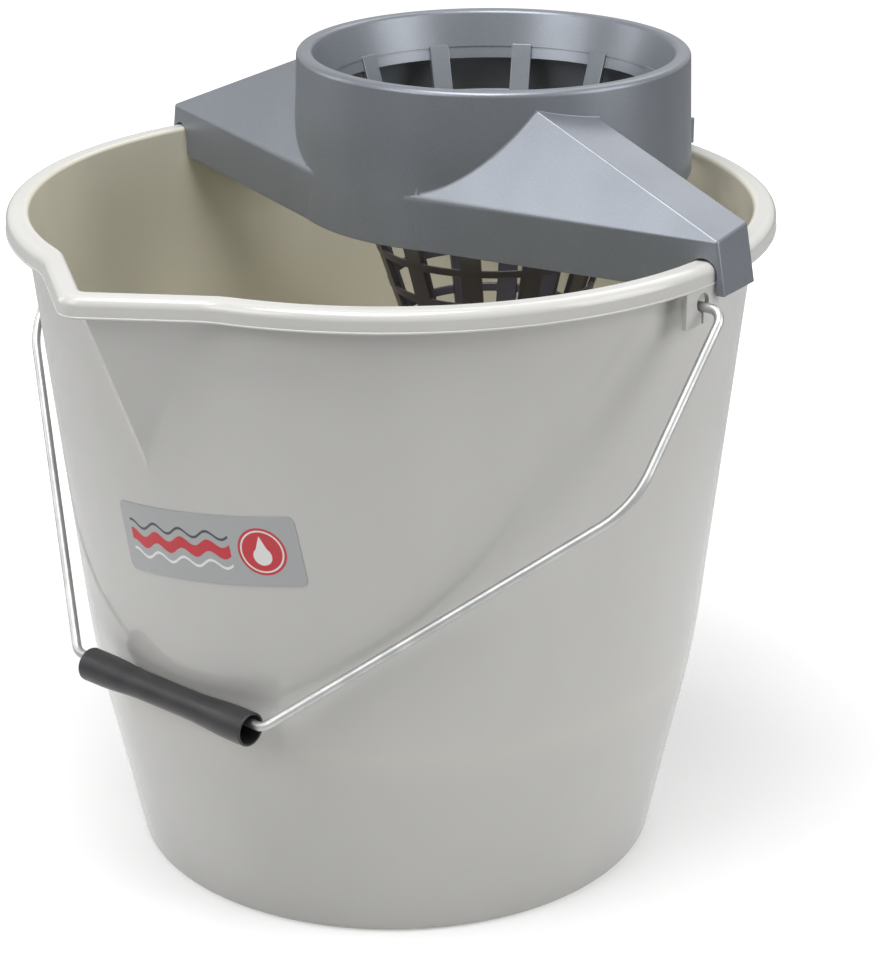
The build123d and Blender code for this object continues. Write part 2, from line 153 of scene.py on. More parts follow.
class WringerSizes(bpy.types.PropertyGroup):
    """Sizes of the wringer, with heights taken from the top of the rim."""

    wall: length("Wall", "Thickness of the moulding", 0.0025)
    collar_flare: length("Collar flare", "How much wider the collar is at its foot", 0.0022)
    collar_radius: length("Collar radius", "Outside of the collar at its top", 0.0866)
    lip_radius: length("Collar lip", "Rounding of the collar's top", 0.0024)
    rear_skirt: length("Rear skirt", "Edge of the skirt behind the wings", 0.0015)
    rear_start: length("Rear skirt start", "Where that edge starts, ahead of the collar's axis", 0.0178)
    end_radius: length("End radius", "Bucket's axis to a wing's end, at the landing", 0.165)
    end_angle: angle("End angle", "Direction of a wing's end", 10.7)
    end_width: length("End width", "Width of a wing's end", 0.0261)
    end_drop: length("End drop", "Foot of a wing's end below the rim's top", 0.0133)
    end_splay: angle("End splay", "Lean of a wing's end", 10.2)
    landing: length("Landing", "Height of the top edge of a wing's end", 0.0089)
    strip_slope: angle("Strip slope", "Slope of the wing's top strip", 21.9)
    strip_root: angle("Strip root", "Where the strip's rear edge meets the collar", 16.2)
    flank_lean: angle("Flank lean", "Lean of the wing's flank", 29.2)
    foot_line: length("Flank's foot", "Rounding at the foot of a wing's flank", 0.008)
    crest: length("Crest", "Rounding of a wing's crest", 0.0006)
    wing_end: length("Wing end", "Rounding of a wing's end", 0.0015)
    small_edge: length("Small edge", "Rounding of the frame's thin edges", 0.0004)
    slot_inside: length("Slot inside", "Inner radius of the slot over the rim", 0.1529)
    slot_outside: length("Slot outside", "Outer radius of the slot over the rim", 0.1657)
    slot_top: length("Slot top", "Height of the arch over the rim", 0.0014)
    hook_half: length("Hook half width", "Half of the rear hook's width", 0.029)
    hook_gap: length("Hook gap", "Rim to the hook's lip", 0.0015)
    hook_plate: length("Hook plate", "Thickness of the hook's plate", 0.004)
    hook_lip: length("Hook lip", "Thickness of the hook's lip", 0.003)
    hook_drop: length("Hook drop", "Lip below the plate", 0.008)
    hook_rib: length("Hook rib", "Place of the hook's ribs to either side", 0.020)
    cone: angle("Basket cone", "Half angle of the basket", 18.5)
    bars: IntProperty(name="Bars", description="Number of bars in the basket", default=12, min=3)
    bar_turn: angle("Bar turn", "How the bars lie round the basket", 3.0)
    bar_width: length("Bar width", "Width of a bar", 0.0092)
    bar_depth: length("Bar thickness", "Thickness of a bar", 0.0026)
    hoop_depth: length("Hoop thickness", "Thickness of a hoop", 0.0015)
    slot_start: length("First slots", "Top edge of the first row of slots", 0.033)
    slot_height: length("Slot height", "Height of a slot", 0.0136)
    hoop_height: length("Hoop height", "Height of a hoop", 0.0036)
    bar_edge: length("Bar edge", "Rounding of the bars and hoops", 0.0004)
    drain_radius: length("Drain radius", "Radius of a drain hole", 0.004)
    drain_ring: length("Drain ring", "Radius of the ring of drain holes", 0.017)
    drains: IntProperty(name="Drains", description="Holes in the ring", default=6, min=3)


class BailSizes(bpy.types.PropertyGroup):
    """Sizes of the bail's wire and its grip."""

    wire: length("Wire", "Diameter of the wire", 0.004)
    leg: length("Leg", "Ear to the wire's first bend", 0.0865)
    run_spare: length("Run", "Wire's corner past the end of the grip", 0.0052)
    tail: length("Tail", "End of the wire from the middle of the bucket", 0.159)
    ear_bend: length("Ear bend", "Radius of the bend beside the ear", 0.006)
    leg_bend: length("Leg bend", "Radius of the bend in the leg", 0.040)
    grip_bend: length("Grip bend", "Radius of the bend beside the grip", 0.008)
    grip_sag: length("Grip sag", "How far the grip hangs below the wire's middle", 0.0025)
    grip_end: length("Grip end", "Radius of the grip's ends", 0.0073)
    grip_waist: length("Grip waist", "Radius of the grip's middle", 0.0061)
    grip_end_len: length("Grip end length", "Length of a thick end", 0.009)
    grip_taper: length("Grip taper", "Length of the taper behind it", 0.026)
    grip_bore: length("Grip bore", "Radius of the bore", 0.0048)
    grip_mouth: length("Grip mouth", "Radius of the bore's mouth", 0.0061)
    grip_mouth_len: length("Grip mouth length", "Length of the widened mouth", 0.012)
    grip_edge: length("Grip edge", "Rounding of the grip's ends", 0.0006)


class LabelSizes(bpy.types.PropertyGroup):
    """Sizes of the label's film and its print."""

    width: length("Width", "Width of the film", 0.0887)
    height: length("Height", "Height of the film", 0.0308)
    film: length("Film", "Thickness of the film", 0.0002)
    glue: length("Glue", "Gap between the film and the wall", 0.0001)
    corner: length("Corner", "Rounding of the film's corners", 0.003)
    turn: angle("Turn", "Label's middle round from the spout", 9.7)
    tilt: angle("Tilt", "How much the right end stands higher", 7.4)
    disc: length("Disc", "Radius of the printed disc", 0.0105)
    disc_place: length("Disc place", "Middle of the film to the middle of the disc", 0.028)
    wave_height: length("Wave", "Height of the printed waves", 0.0016)
    wave_length: length("Wave length", "Length of one printed wave", 0.014)


class Finishes(bpy.types.PropertyGroup):
    """Colours of the pieces, with a painted shade and a painted bounce light among them."""

    bucket: colour("Bucket", "Light grey of the bucket", (0.60, 0.595, 0.575))
    bucket_shade: colour("Bucket shade", "Darker streaks in that grey", (0.57, 0.565, 0.545))
    # Painted light: a lighter, warmer grey inside the bucket that stands in for light bounced round the
    # inside
    bucket_painted_bounce_light: colour("Bucket inside", "Warmer grey inside the bucket", (0.72, 0.69, 0.575))
    wringer: colour("Wringer", "Blue grey of the wringer", (0.180, 0.196, 0.222))
    wringer_flake: colour("Wringer flake", "Paler flakes in that grey", (0.245, 0.266, 0.298))
    # Painted shade: a darker colour for the basket below the rim, standing in for the shade under the
    # wringer
    wringer_painted_shade: colour("Wringer below", "Darker tone of the basket below the rim", (0.07, 0.064, 0.075))
    wire: colour("Wire", "Zinc of the wire", (0.52, 0.53, 0.52))
    wire_dull: colour("Dull wire", "Duller zinc", (0.43, 0.44, 0.435))
    grip: colour("Grip", "Black of the grip", (0.017, 0.0165, 0.019))
    grip_shade: colour("Grip shade", "Paler marks in that black", (0.034, 0.033, 0.036))
    film: colour("Film", "Grey of the label", (0.43, 0.44, 0.445))
    red: colour("Print red", "Red of the print", (0.60, 0.022, 0.035))
    white: colour("Print white", "White of the print", (0.85, 0.85, 0.84))
    dark: colour("Print dark", "Dark grey of the print", (0.05, 0.05, 0.055))
    floor: colour("Stage floor", "Pale floor under the object", (0.58, 0.58, 0.58))


class StageSizes(bpy.types.PropertyGroup):
    """Camera, lamps and floor."""

    camera: FloatVectorProperty(
        name="Camera",
        description="Place of the camera",
        default=(0.73959, -0.82893, 0.60321),
        subtype="TRANSLATION",
    )
    forward: FloatVectorProperty(
        name="Forward",
        description="Way the camera looks",
        default=(-0.60347, 0.70649, -0.36972),
        subtype="DIRECTION",
    )
    lens: amount("Lens", "Focal length in millimetres", 99.04)
    sensor: amount("Sensor", "Longer side of the sensor in millimetres", 36.0)
    floor_size: length("Floor size", "Half of the floor's side", 6.0)
    world: amount("World", "Strength of the even light", 0.65)
    mirror: amount("Mirrored white", "How much of the white surroundings reflections show", 0.65)
    floor_glow: amount("Floor glow", "How much the floor is lifted for the camera", 0.45)
    far_glow: amount("Far glow", "The same away from the object", 0.8)


# Small tools for meshes


def spread(start, stop, count):
    """Evenly spaced values, both ends included."""
    return [start + (stop - start) * index / count for index in range(count + 1)]


def add_piece(name, mesh, material):
    """Put a mesh in the scene as a new piece with one material."""
    mesh.materials.clear()
    mesh.materials.append(material)
    piece = bpy.data.objects.new(name, mesh)
    bpy.context.scene.collection.objects.link(piece)
    return piece


def settle(piece):
    """Turn a piece's modifiers into a plain mesh."""
    view = bpy.context.evaluated_depsgraph_get()
    mesh = bpy.data.meshes.new_from_object(piece.evaluated_get(view))
    old = piece.data
    piece.modifiers.clear()
    piece.data = mesh
    mesh.name = piece.name
    bpy.data.meshes.remove(old)
    return piece


def round_edges(piece, width, turn=BEVEL_TURN):
    """Add a bevel on the edges that turn by more than an angle."""
    bevel = piece.modifiers.new("Round edges", "BEVEL")
    bevel.width = width
    bevel.segments = BEVEL_STEPS
    bevel.limit_method = "ANGLE"
    bevel.angle_limit = turn
    bevel.use_clamp_overlap = True


def shade(piece, turn):
    """Close and clean a mesh, and shade it smooth up to its sharp edges, with flat faces kept even."""
    mesh = piece.data
    work = bmesh.new()
    work.from_mesh(mesh)
    bmesh.ops.remove_doubles(work, verts=work.verts, dist=WELD)
    bmesh.ops.dissolve_degenerate(work, edges=work.edges, dist=WELD)
    bmesh.ops.holes_fill(work, edges=[edge for edge in work.edges if edge.is_boundary], sides=0)
    work.to_mesh(mesh)
    work.free()
    mesh.validate()
    mesh.shade_smooth()
    mesh.set_sharp_from_angle(angle=turn)
    even = piece.modifiers.new("Even shading", "WEIGHTED_NORMAL")
    even.keep_sharp = True
    return settle(piece)


def combine(piece, tool, operation):
    """Join a tool to a piece, or cut the piece with it, and remove the tool."""
    cut = piece.modifiers.new("Combine", "BOOLEAN")
    cut.operation = operation
    cut.solver = "EXACT"
    cut.object = tool
    settle(piece)
    mesh = tool.data
    bpy.data.objects.remove(tool)
    bpy.data.meshes.remove(mesh)
    return piece


def place(piece, body, slot, *nodes):
    """Hand a finished piece to the frame."""
    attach(piece, body)
    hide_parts(*nodes)


def ring_mesh(name, rings, capped):
    """A skin through rings of points: capped at both ends, or closed on itself."""
    count = len(rings[0])
    points = [point for ring in rings for point in ring]
    faces = []
    last = len(rings) - 1
    for row in range(last if capped else last + 1):
        below, above = row * count, (row + 1) % len(rings) * count
        for column in range(count):
            after = (column + 1) % count
            faces.append((below + column, below + after, above + after, above + column))
    if capped:
        for row, turned in ((0, True), (last, False)):
            ring = rings[row]
            middle = sum((Vector(point) for point in ring), Vector()) / count
            points.append(middle)
            for column in range(count):
                pair = [row * count + column, row * count + (column + 1) % count]
                faces.append((*(reversed(pair) if turned else pair), len(points) - 1))
    mesh = bpy.data.meshes.new(name)
    mesh.from_pydata(points, [], faces)
    return mesh


def outward(mesh):
    """Weld a closed mesh and turn its faces outwards."""
    work = bmesh.new()
    work.from_mesh(mesh)
    bmesh.ops.remove_doubles(work, verts=work.verts, dist=WELD)
    bmesh.ops.recalc_face_normals(work, faces=work.faces)
    work.to_mesh(mesh)
    work.free()
    return mesh


def prism(name, outline, start, stop, to_space):
    """A closed solid between two copies of a flat outline."""
    count = len(outline)
    points = [to_space(point, start) for point in outline] + [to_space(point, stop) for point in outline]
    faces = [tuple(range(count)), tuple(range(count, 2 * count))]
    for index in range(count):
        after = (index + 1) % count
        faces.append((index, after, count + after, count + index))
    mesh = bpy.data.meshes.new(name)
    mesh.from_pydata(points, [], faces)
    return outward(mesh)


# Node trees


class Tree:
    """Adds nodes to a tree and links them."""

    def __init__(self, tree):
        self.tree = tree

    def add(self, kind, values=None, **settings):
        """A new node, with its inputs given as plain values or as sockets."""
        node = self.tree.nodes.new(kind)
        for name, value in settings.items():
            setattr(node, name, value)
        for key, value in (values or {}).items():
            self.feed(node.inputs[key], value)
        return node

    def feed(self, socket, value):
        """Link a socket to an input, or set the input's own value."""
        if isinstance(value, bpy.types.NodeSocket):
            self.tree.links.new(value, socket)
        else:
            socket.default_value = value

    def math(self, operation, first, second=0.0, clamp=False):
        """The result of one calculation."""
        node = self.add("ShaderNodeMath", {0: first, 1: second}, operation=operation, use_clamp=clamp)
        return node.outputs[0]

    def flat_length(self, across, up):
        """The length of a flat vector, from its two parts."""
        squares = self.math("ADD", self.math("POWER", across, 2.0), self.math("POWER", up, 2.0))
        return self.math("SQRT", squares)

    def mix(self, factor, first, second):
        """A colour between two colours."""
        node = self.add("ShaderNodeMix", data_type="RGBA")
        for index, value in ((0, factor), (6, first), (7, second)):
            self.feed(node.inputs[index], value)
        return node.outputs[2]

    def ramp(self, value, low, high, start, stop):
        """A value carried from one range to another."""
        keys = {"Value": value, "From Min": low, "From Max": high, "To Min": start, "To Max": stop}
        return self.add("ShaderNodeMapRange", keys).outputs[0]


def geometry_tree(name, inputs):
    """An empty geometry tree with the given size inputs."""
    tree = bpy.data.node_groups.new(name, "GeometryNodeTree")
    tree.interface.new_socket("Geometry", in_out="INPUT", socket_type="NodeSocketGeometry")
    for label, kind in inputs:
        tree.interface.new_socket(label, in_out="INPUT", socket_type=kind)
    tree.interface.new_socket("Geometry", in_out="OUTPUT", socket_type="NodeSocketGeometry")
    build = Tree(tree)
    return build, build.add("NodeGroupInput").outputs, build.add("NodeGroupOutput")


def finish_tree(build, geometry, material, output):
    """End a geometry tree with real geometry and its material."""
    real = build.add("GeometryNodeRealizeInstances", {"Geometry": geometry})
    welded = build.add("GeometryNodeMergeByDistance", {"Geometry": real.outputs[0], "Distance": WELD})
    dressed = build.add("GeometryNodeSetMaterial", {"Geometry": welded.outputs[0], "Material": material})
    build.feed(output.inputs[0], dressed.outputs[0])
    return build.tree


def run_tree(source, tree, values):
    """Run a geometry tree on an object and return the result as a plain mesh."""
    modifier = source.modifiers.new(tree.name, "NODES")
    modifier.node_group = tree
    for item in tree.interface.items_tree:
        if item.in_out == "INPUT" and item.name in values:
            modifier[item.identifier] = values[item.name]
    view = bpy.context.evaluated_depsgraph_get()
    mesh = bpy.data.meshes.new_from_object(source.evaluated_get(view))
    bpy.data.objects.remove(source)
    return mesh


# Shared effects

# The range of the noise that is used, and what ripples and grain add to the height
NOISE_BAND = (0.3, 0.7)
RIPPLE_SHARE = 0.6
GRAIN_SHARE = 0.05
# How far the scratches wander, how thin they are, and the noise that picks where they show
SCRATCH_WANDER = (0.03, 0.03, 0.03)
SCRATCH_HAIR = 0.012
SCRATCH_BAND = (0.58, 0.72)


def effect_group(name, inputs, outputs):
    """An empty shader group with named inputs and outputs."""
    tree = bpy.data.node_groups.new(name, "ShaderNodeTree")
    for label, kind, default in inputs:
        socket = tree.interface.new_socket(label, in_out="INPUT", socket_type=kind)
        if default is not None:
            socket.default_value = default
    for label in outputs:
        tree.interface.new_socket(label, in_out="OUTPUT", socket_type="NodeSocketFloat")
    build = Tree(tree)
    return build, build.add("NodeGroupInput").outputs, build.add("NodeGroupOutput").inputs


def moulded_skin():
    """Uneven tone, uneven gloss and the faint waviness of a moulded surface."""
    name = "Moulded Skin"
    if name in bpy.data.node_groups:
        return bpy.data.node_groups[name]
    build, given, out = effect_group(
        name,
        [
            ("Vector", "NodeSocketVector", None),
            ("Grain", "NodeSocketFloat", 900.0),
            ("Streak", "NodeSocketFloat", 16.0),
            ("Stretch", "NodeSocketFloat", 0.25),
        ],
        ("Tone", "Gloss", "Height"),
    )
    stretch = build.add("ShaderNodeCombineXYZ", {0: 1.0, 1: 1.0, 2: given["Stretch"]})
    along = build.add(
        "ShaderNodeVectorMath", {0: given["Vector"], 1: stretch.outputs[0]}, operation="MULTIPLY"
    )
    streak = build.add(
        "ShaderNodeTexNoise",
        {"Vector": along.outputs[0], "Scale": given["Streak"], "Detail": 3.0, "Roughness": 0.55},
    )
    grain = build.add(
        "ShaderNodeTexNoise", {"Vector": given["Vector"], "Scale": given["Grain"], "Detail": 2.0}
    )
    patch = build.add(
        "ShaderNodeTexNoise", {"Vector": given["Vector"], "Scale": 38.0, "Detail": 4.0, "Roughness": 0.6}
    )
    build.feed(out["Tone"], build.ramp(streak.outputs[0], *NOISE_BAND, 0.0, 1.0))
    build.feed(out["Gloss"], build.ramp(patch.outputs[0], *NOISE_BAND, 0.0, 1.0))
    ripple = build.math("MULTIPLY", streak.outputs[0], RIPPLE_SHARE)
    grit = build.math("MULTIPLY", grain.outputs[0], GRAIN_SHARE)
    build.feed(out["Height"], build.math("ADD", ripple, grit))
    return build.tree


def fine_scratches():
    """A mask of sparse hairline marks from handling."""
    name = "Fine Scratches"
    if name in bpy.data.node_groups:
        return bpy.data.node_groups[name]
    build, given, out = effect_group(
        name,
        [
            ("Vector", "NodeSocketVector", None),
            ("Scale", "NodeSocketFloat", 60.0),
            ("Amount", "NodeSocketFloat", 0.4),
        ],
        ("Mask",),
    )
    bend = build.add("ShaderNodeTexNoise", {"Vector": given["Vector"], "Scale": 22.0, "Detail": 2.0})
    moved = build.add("ShaderNodeVectorMath", {0: bend.outputs[1], 1: SCRATCH_WANDER}, operation="MULTIPLY")
    shifted = build.add("ShaderNodeVectorMath", {0: given["Vector"], 1: moved.outputs[0]}, operation="ADD")
    cells = build.add(
        "ShaderNodeTexVoronoi",
        {"Vector": shifted.outputs[0], "Scale": given["Scale"]},
        feature="DISTANCE_TO_EDGE",
    )
    line = build.ramp(cells.outputs["Distance"], 0.0, SCRATCH_HAIR, 1.0, 0.0)
    sparse = build.add("ShaderNodeTexNoise", {"Vector": given["Vector"], "Scale": 30.0, "Detail": 1.0})
    chosen = build.ramp(sparse.outputs[0], *SCRATCH_BAND, 0.0, given["Amount"])
    build.feed(out["Mask"], build.math("MULTIPLY", line, chosen))
    return build.tree


# Materials

# A moulded or printed skin: the scales of its grain and streaks, the streaks' stretch, the least and
# most roughness, and the strength and depth of its bump
Skin = namedtuple("Skin", "grain streak stretch least_rough most_rough bump depth")
BUCKET_SKIN = Skin(700.0, 14.0, 0.3, 0.13, 0.17, 0.2, 0.0004)
WRINGER_SKIN = Skin(1400.0, 26.0, 0.35, 0.32, 0.38, 0.3, 0.0005)
GRIP_SKIN = Skin(1500.0, 60.0, 1.0, 0.34, 0.44, 0.35, 0.0004)
FILM_SKIN = Skin(1200.0, 40.0, 1.0, 0.26, 0.36, 0.3, 0.0003)
# Scale and share of the scratches, and how much rougher they are
WRINGER_SCRATCHES = (30.0, 0.3)
GRIP_SCRATCHES = (70.0, 0.6)
SCRATCH_ROUGH = 0.2
PLASTIC_IOR = 1.49
GRIP_IOR = 1.5
# Metal flake in the wringer's plastic, and the painted shade that darkens the basket below the rim
FLAKE_SCALE = 2600.0
FLAKE_BAND = (0.45, 0.75)
FLAKE_MOST = 0.55
FLOW_SHARE = 0.3
FLAKE_METAL = 0.45
PAINTED_SHADE_FULL = 0.034
PAINTED_SHADE_START = 0.014
# Zinc on the wire: spangle, and roughness where it is dull and where it is bright
SPANGLE_SCALE = 90.0
SPANGLE_BAND = (0.35, 0.65)
ZINC_ROUGH = (0.46, 0.4)
# The waves on the film: each one's level, half width and colour, and the bare strip at the film's end
WAVE_LINES = ((0.0062, 0.0006, "dark"), (0.0, 0.0026, "red"), (-0.0066, 0.0006, "white"))
WAVE_INSET = 0.005
# The room beside the disc, the disc's ring and its drop, as shares of the disc's radius
DISC_CLEAR = 1.35
RING_PLACE = 0.86
DROP_LOW = 0.2
DROP_BELLY = 0.38
DROP_POINT = 0.66
DROP_SHOULDER = 0.14
# How fast the drop widens below its point, then the ring's half width and the print's softness in metres
DROP_SLOPE = 0.42
RING_HALF = 0.00035
PRINT_SOFT = 0.00015
PRINT_WEAR = 0.05
# The floor: its faint clouds, and the distances over which its glow changes
CLOUD_SCALE = 1.5
CLOUD_SHARE = 0.04
GLOW_REACH = (0.25, 0.8)
MIRROR_REACH = (0.15, 0.55)
WHITE = (1.0, 1.0, 1.0, 1.0)


def bare_material(name):
    """An empty material and its builder."""
    material = bpy.data.materials.new(name)
    material.use_nodes = True
    material.node_tree.nodes.clear()
    return material, Tree(material.node_tree)


def new_material(name):
    """A material, its builder, its shader's inputs and the Object coordinates."""
    material, build = bare_material(name)
    shader = build.add("ShaderNodeBsdfPrincipled")
    output = build.add("ShaderNodeOutputMaterial")
    build.feed(output.inputs["Surface"], shader.outputs[0])
    return material, build, shader.inputs, build.add("ShaderNodeTexCoord").outputs["Object"]


def opaque(value):
    """A colour with full alpha."""
    return (*value, 1.0)


def add_group(build, tree, values):
    """The outputs of a shared effect in one material."""
    node = build.add("ShaderNodeGroup", node_tree=tree)
    for label, value in values.items():
        build.feed(node.inputs[label], value)
    return node.outputs


def add_skin(build, shader, vector, skin, scratches=None):
    """Give a shader the roughness and normal of a skin, and return the skin's uneven tone."""
    values = {"Vector": vector, "Grain": skin.grain, "Streak": skin.streak, "Stretch": skin.stretch}
    out = add_group(build, moulded_skin(), values)
    rough = build.ramp(out["Gloss"], 0.0, 1.0, skin.least_rough, skin.most_rough)
    if scratches:
        scale, share = scratches
        marks = add_group(build, fine_scratches(), {"Vector": vector, "Scale": scale, "Amount": share})
        rough = build.math("ADD", rough, build.math("MULTIPLY", marks["Mask"], SCRATCH_ROUGH))
    build.feed(shader["Roughness"], rough)
    values = {"Height": out["Height"], "Strength": skin.bump, "Distance": skin.depth}
    build.feed(shader["Normal"], build.add("ShaderNodeBump", values).outputs[0])
    return out["Tone"]


def inside_wall(build, vector, sizes):
    """A mask that is full inside the bucket's wall, where the painted bounce light goes."""
    parts = build.add("ShaderNodeSeparateXYZ", {0: vector}).outputs
    reach = build.flat_length(parts[0], parts[1])
    knee, height = sizes.knee_radius, sizes.knee_height
    low_slope = (knee - sizes.base_radius) / height
    high_slope = (sizes.neck_radius - knee) / (BUCKET_HIGH.z - sizes.rim_drop - height)
    above = build.math("SUBTRACT", parts[2], height)
    low, high = (build.math("MULTIPLY", above, slope) for slope in (low_slope, high_slope))
    wall = build.math("ADD", build.math("MINIMUM", low, high), knee - sizes.wall)
    return build.ramp(build.math("SUBTRACT", wall, reach), -sizes.wall, 0.0, 0.0, 1.0)


def bucket_plastic(tones, sizes):
    """Grey polypropylene with a soft gloss, and painted bounce light that makes the inside lighter and
    warmer.
    """
    material, build, shader, vector = new_material("bucket_plastic")
    tone = add_skin(build, shader, vector, BUCKET_SKIN)
    outside = build.mix(tone, opaque(tones.bucket_shade), opaque(tones.bucket))
    # Painted light: the inside of the wall is painted lighter and warmer, standing in for bounced light
    inside = inside_wall(build, vector, sizes)
    build.feed(shader["Base Color"], build.mix(inside, outside, opaque(tones.bucket_painted_bounce_light)))
    shader["IOR"].default_value = PLASTIC_IOR
    return material


def wringer_plastic(tones):
    """Blue grey plastic with a little metal flake and faint flow marks, and painted shade on the basket
    below the rim.
    """
    material, build, shader, vector = new_material("wringer_plastic")
    flow = add_skin(build, shader, vector, WRINGER_SKIN, WRINGER_SCRATCHES)
    flake = build.add("ShaderNodeTexNoise", {"Vector": vector, "Scale": FLAKE_SCALE, "Detail": 1.0})
    speck = build.ramp(flake.outputs[0], *FLAKE_BAND, 0.0, FLAKE_MOST)
    tone = build.math("ADD", speck, build.math("MULTIPLY", flow, FLOW_SHARE), clamp=True)
    paint = build.mix(tone, opaque(tones.wringer), opaque(tones.wringer_flake))
    # Painted shade: below the rim the basket is painted darker, standing in for the shade under the wringer
    height = build.add("ShaderNodeSeparateXYZ", {0: vector}).outputs[2]
    low = build.ramp(height, BUCKET_HIGH.z - PAINTED_SHADE_FULL, BUCKET_HIGH.z - PAINTED_SHADE_START, 1.0, 0.0)
    build.feed(shader["Base Color"], build.mix(low, paint, opaque(tones.wringer_painted_shade)))
    shader["Metallic"].default_value = FLAKE_METAL
    shader["IOR"].default_value = PLASTIC_IOR
    return material


def zinc_wire(tones):
    """Drawn steel wire with a bright zinc coat."""
    material, build, shader, vector = new_material("zinc_wire")
    spangle = build.add("ShaderNodeTexNoise", {"Vector": vector, "Scale": SPANGLE_SCALE, "Detail": 2.0})
    tone = build.ramp(spangle.outputs[0], *SPANGLE_BAND, 0.0, 1.0)
    build.feed(shader["Base Color"], build.mix(tone, opaque(tones.wire_dull), opaque(tones.wire)))
    build.feed(shader["Roughness"], build.ramp(spangle.outputs[0], *SPANGLE_BAND, *ZINC_ROUGH))
    shader["Metallic"].default_value = 1.0
    return material


def grip_plastic(tones):
    """Black plastic with a dull shine."""
    material, build, shader, vector = new_material("grip_plastic")
    tone = add_skin(build, shader, vector, GRIP_SKIN, GRIP_SCRATCHES)
    build.feed(shader["Base Color"], build.mix(tone, opaque(tones.grip), opaque(tones.grip_shade)))
    shader["IOR"].default_value = GRIP_IOR
    return material


def within(build, distance, reach):
    """A mask that is full where a distance is less than the reach."""
    start = build.math("SUBTRACT", reach, PRINT_SOFT)
    stop = build.math("ADD", reach, PRINT_SOFT)
    return build.ramp(distance, start, stop, 1.0, 0.0)


def near_line(build, value, line, half):
    """A mask that is full where a value is close to a line."""
    return within(build, build.math("ABSOLUTE", build.math("SUBTRACT", value, line)), half)


def wave_band(build, across, up, level, half, sizes):
    """A mask of one wavy line on the film."""
    swing = build.math("SINE", build.math("MULTIPLY", across, 2 * pi / sizes.wave_length))
    middle = build.math("ADD", build.math("MULTIPLY", swing, sizes.wave_height), level)
    return near_line(build, up, middle, half)


def drop_mask(build, aside, up, disc):
    """A mask of the drop in the disc: a round belly and a point above it."""
    low = build.math("ADD", up, DROP_LOW * disc)
    belly = within(build, build.flat_length(aside, low), DROP_BELLY * disc)
    taper = build.math("MULTIPLY", build.math("SUBTRACT", DROP_POINT * disc, up), DROP_SLOPE)
    point = build.math("LESS_THAN", build.math("ABSOLUTE", aside), taper)
    above = build.math("GREATER_THAN", low, DROP_SHOULDER * disc)
    return build.math("MAXIMUM", belly, build.math("MULTIPLY", point, above))


def label_film(tones, sizes):
    """Grey film printed with plain waves and a disc with a drop."""
    material, build, shader, vector = new_material("label_film")
    spot = build.add("ShaderNodeUVMap", uv_map="film").outputs[0]
    parts = build.add("ShaderNodeSeparateXYZ", {0: spot}).outputs
    across = build.math("MULTIPLY", build.math("SUBTRACT", parts[0], 0.5), sizes.width)
    up = build.math("MULTIPLY", build.math("SUBTRACT", parts[1], 0.5), sizes.height)
    left = build.math("LESS_THAN", across, sizes.disc_place - DISC_CLEAR * sizes.disc)
    inset = build.math("GREATER_THAN", across, WAVE_INSET - sizes.width / 2)
    band = build.math("MULTIPLY", left, inset)
    paint = opaque(tones.film)
    for level, half, tone in WAVE_LINES:
        line = build.math("MULTIPLY", wave_band(build, across, up, level, half, sizes), band)
        paint = build.mix(line, paint, opaque(getattr(tones, tone)))
    aside = build.math("SUBTRACT", across, sizes.disc_place)
    reach = build.flat_length(aside, up)
    ring = near_line(build, reach, RING_PLACE * sizes.disc, RING_HALF)
    drop = drop_mask(build, aside, up, sizes.disc)
    paint = build.mix(within(build, reach, sizes.disc), paint, opaque(tones.red))
    paint = build.mix(build.math("MAXIMUM", ring, drop), paint, opaque(tones.white))
    worn = build.math("MULTIPLY", add_skin(build, shader, vector, FILM_SKIN), PRINT_WEAR)
    build.feed(shader["Base Color"], build.mix(worn, paint, opaque(tones.film)))
    return material


def stage_floor(tones, glow, far_glow):
    """Pale floor that keeps the shadow, shows white and fades in reflections."""
    material, build = bare_material("stage_floor")
    vector = build.add("ShaderNodeTexCoord").outputs["Object"]
    cloud = build.add("ShaderNodeTexNoise", {"Vector": vector, "Scale": CLOUD_SCALE, "Detail": 2.0})
    pale = build.mix(build.math("MULTIPLY", cloud.outputs[0], CLOUD_SHARE), opaque(tones.floor), WHITE)
    matt = build.add("ShaderNodeBsdfDiffuse", {"Color": pale})
    rays = build.add("ShaderNodeLightPath").outputs
    away = build.add("ShaderNodeVectorMath", {0: vector}, operation="LENGTH").outputs["Value"]
    plain = build.ramp(away, *GLOW_REACH, glow, far_glow)
    near = build.ramp(away, *MIRROR_REACH, glow, 0.0)
    camera = build.math("MULTIPLY", rays["Is Camera Ray"], plain)
    mirror = build.math("MAXIMUM", rays["Is Glossy Ray"], rays["Is Transmission Ray"])
    strength = build.math("ADD", camera, build.math("MULTIPLY", mirror, near))
    lift = build.add("ShaderNodeEmission", {"Strength": strength})
    both = build.add("ShaderNodeAddShader", {0: matt.outputs[0], 1: lift.outputs[0]})
    output = build.add("ShaderNodeOutputMaterial")
    build.feed(output.inputs["Surface"], both.outputs[0])
    return material


# Bucket

# Columns round from the spout in degrees: the first few, then start, stop and steps of each band
FIRST_COLUMNS = [0.0, 0.11, 0.22, 0.36]
COLUMN_BANDS = ((0.5, 4.0, 14), (4.75, 25.0, 27), (27.0, 179.0, 76))
LAST_COLUMN = 180.0
# Rings over the base and the bottom, as shares of their radius
BASE_SHARES = (0.12, 0.4, 0.7)
EDGE_STEPS, BEAD_STEPS, CROWN_STEPS, MOUTH_STEPS, HOLE_STEPS = 7, 6, 9, 6, 28
FOOT_STEPS, KNEE_STEPS, WALL_STEPS, INNER_STEPS = 8, 10, 44, 64
# The skirt's inner edge and the height over the bead, as shares of the bead's height
BEAD_IN, BEAD_LOW, BEAD_OVER = 0.3, 0.2, 1.6
SLOPE_STEP = 1e-4


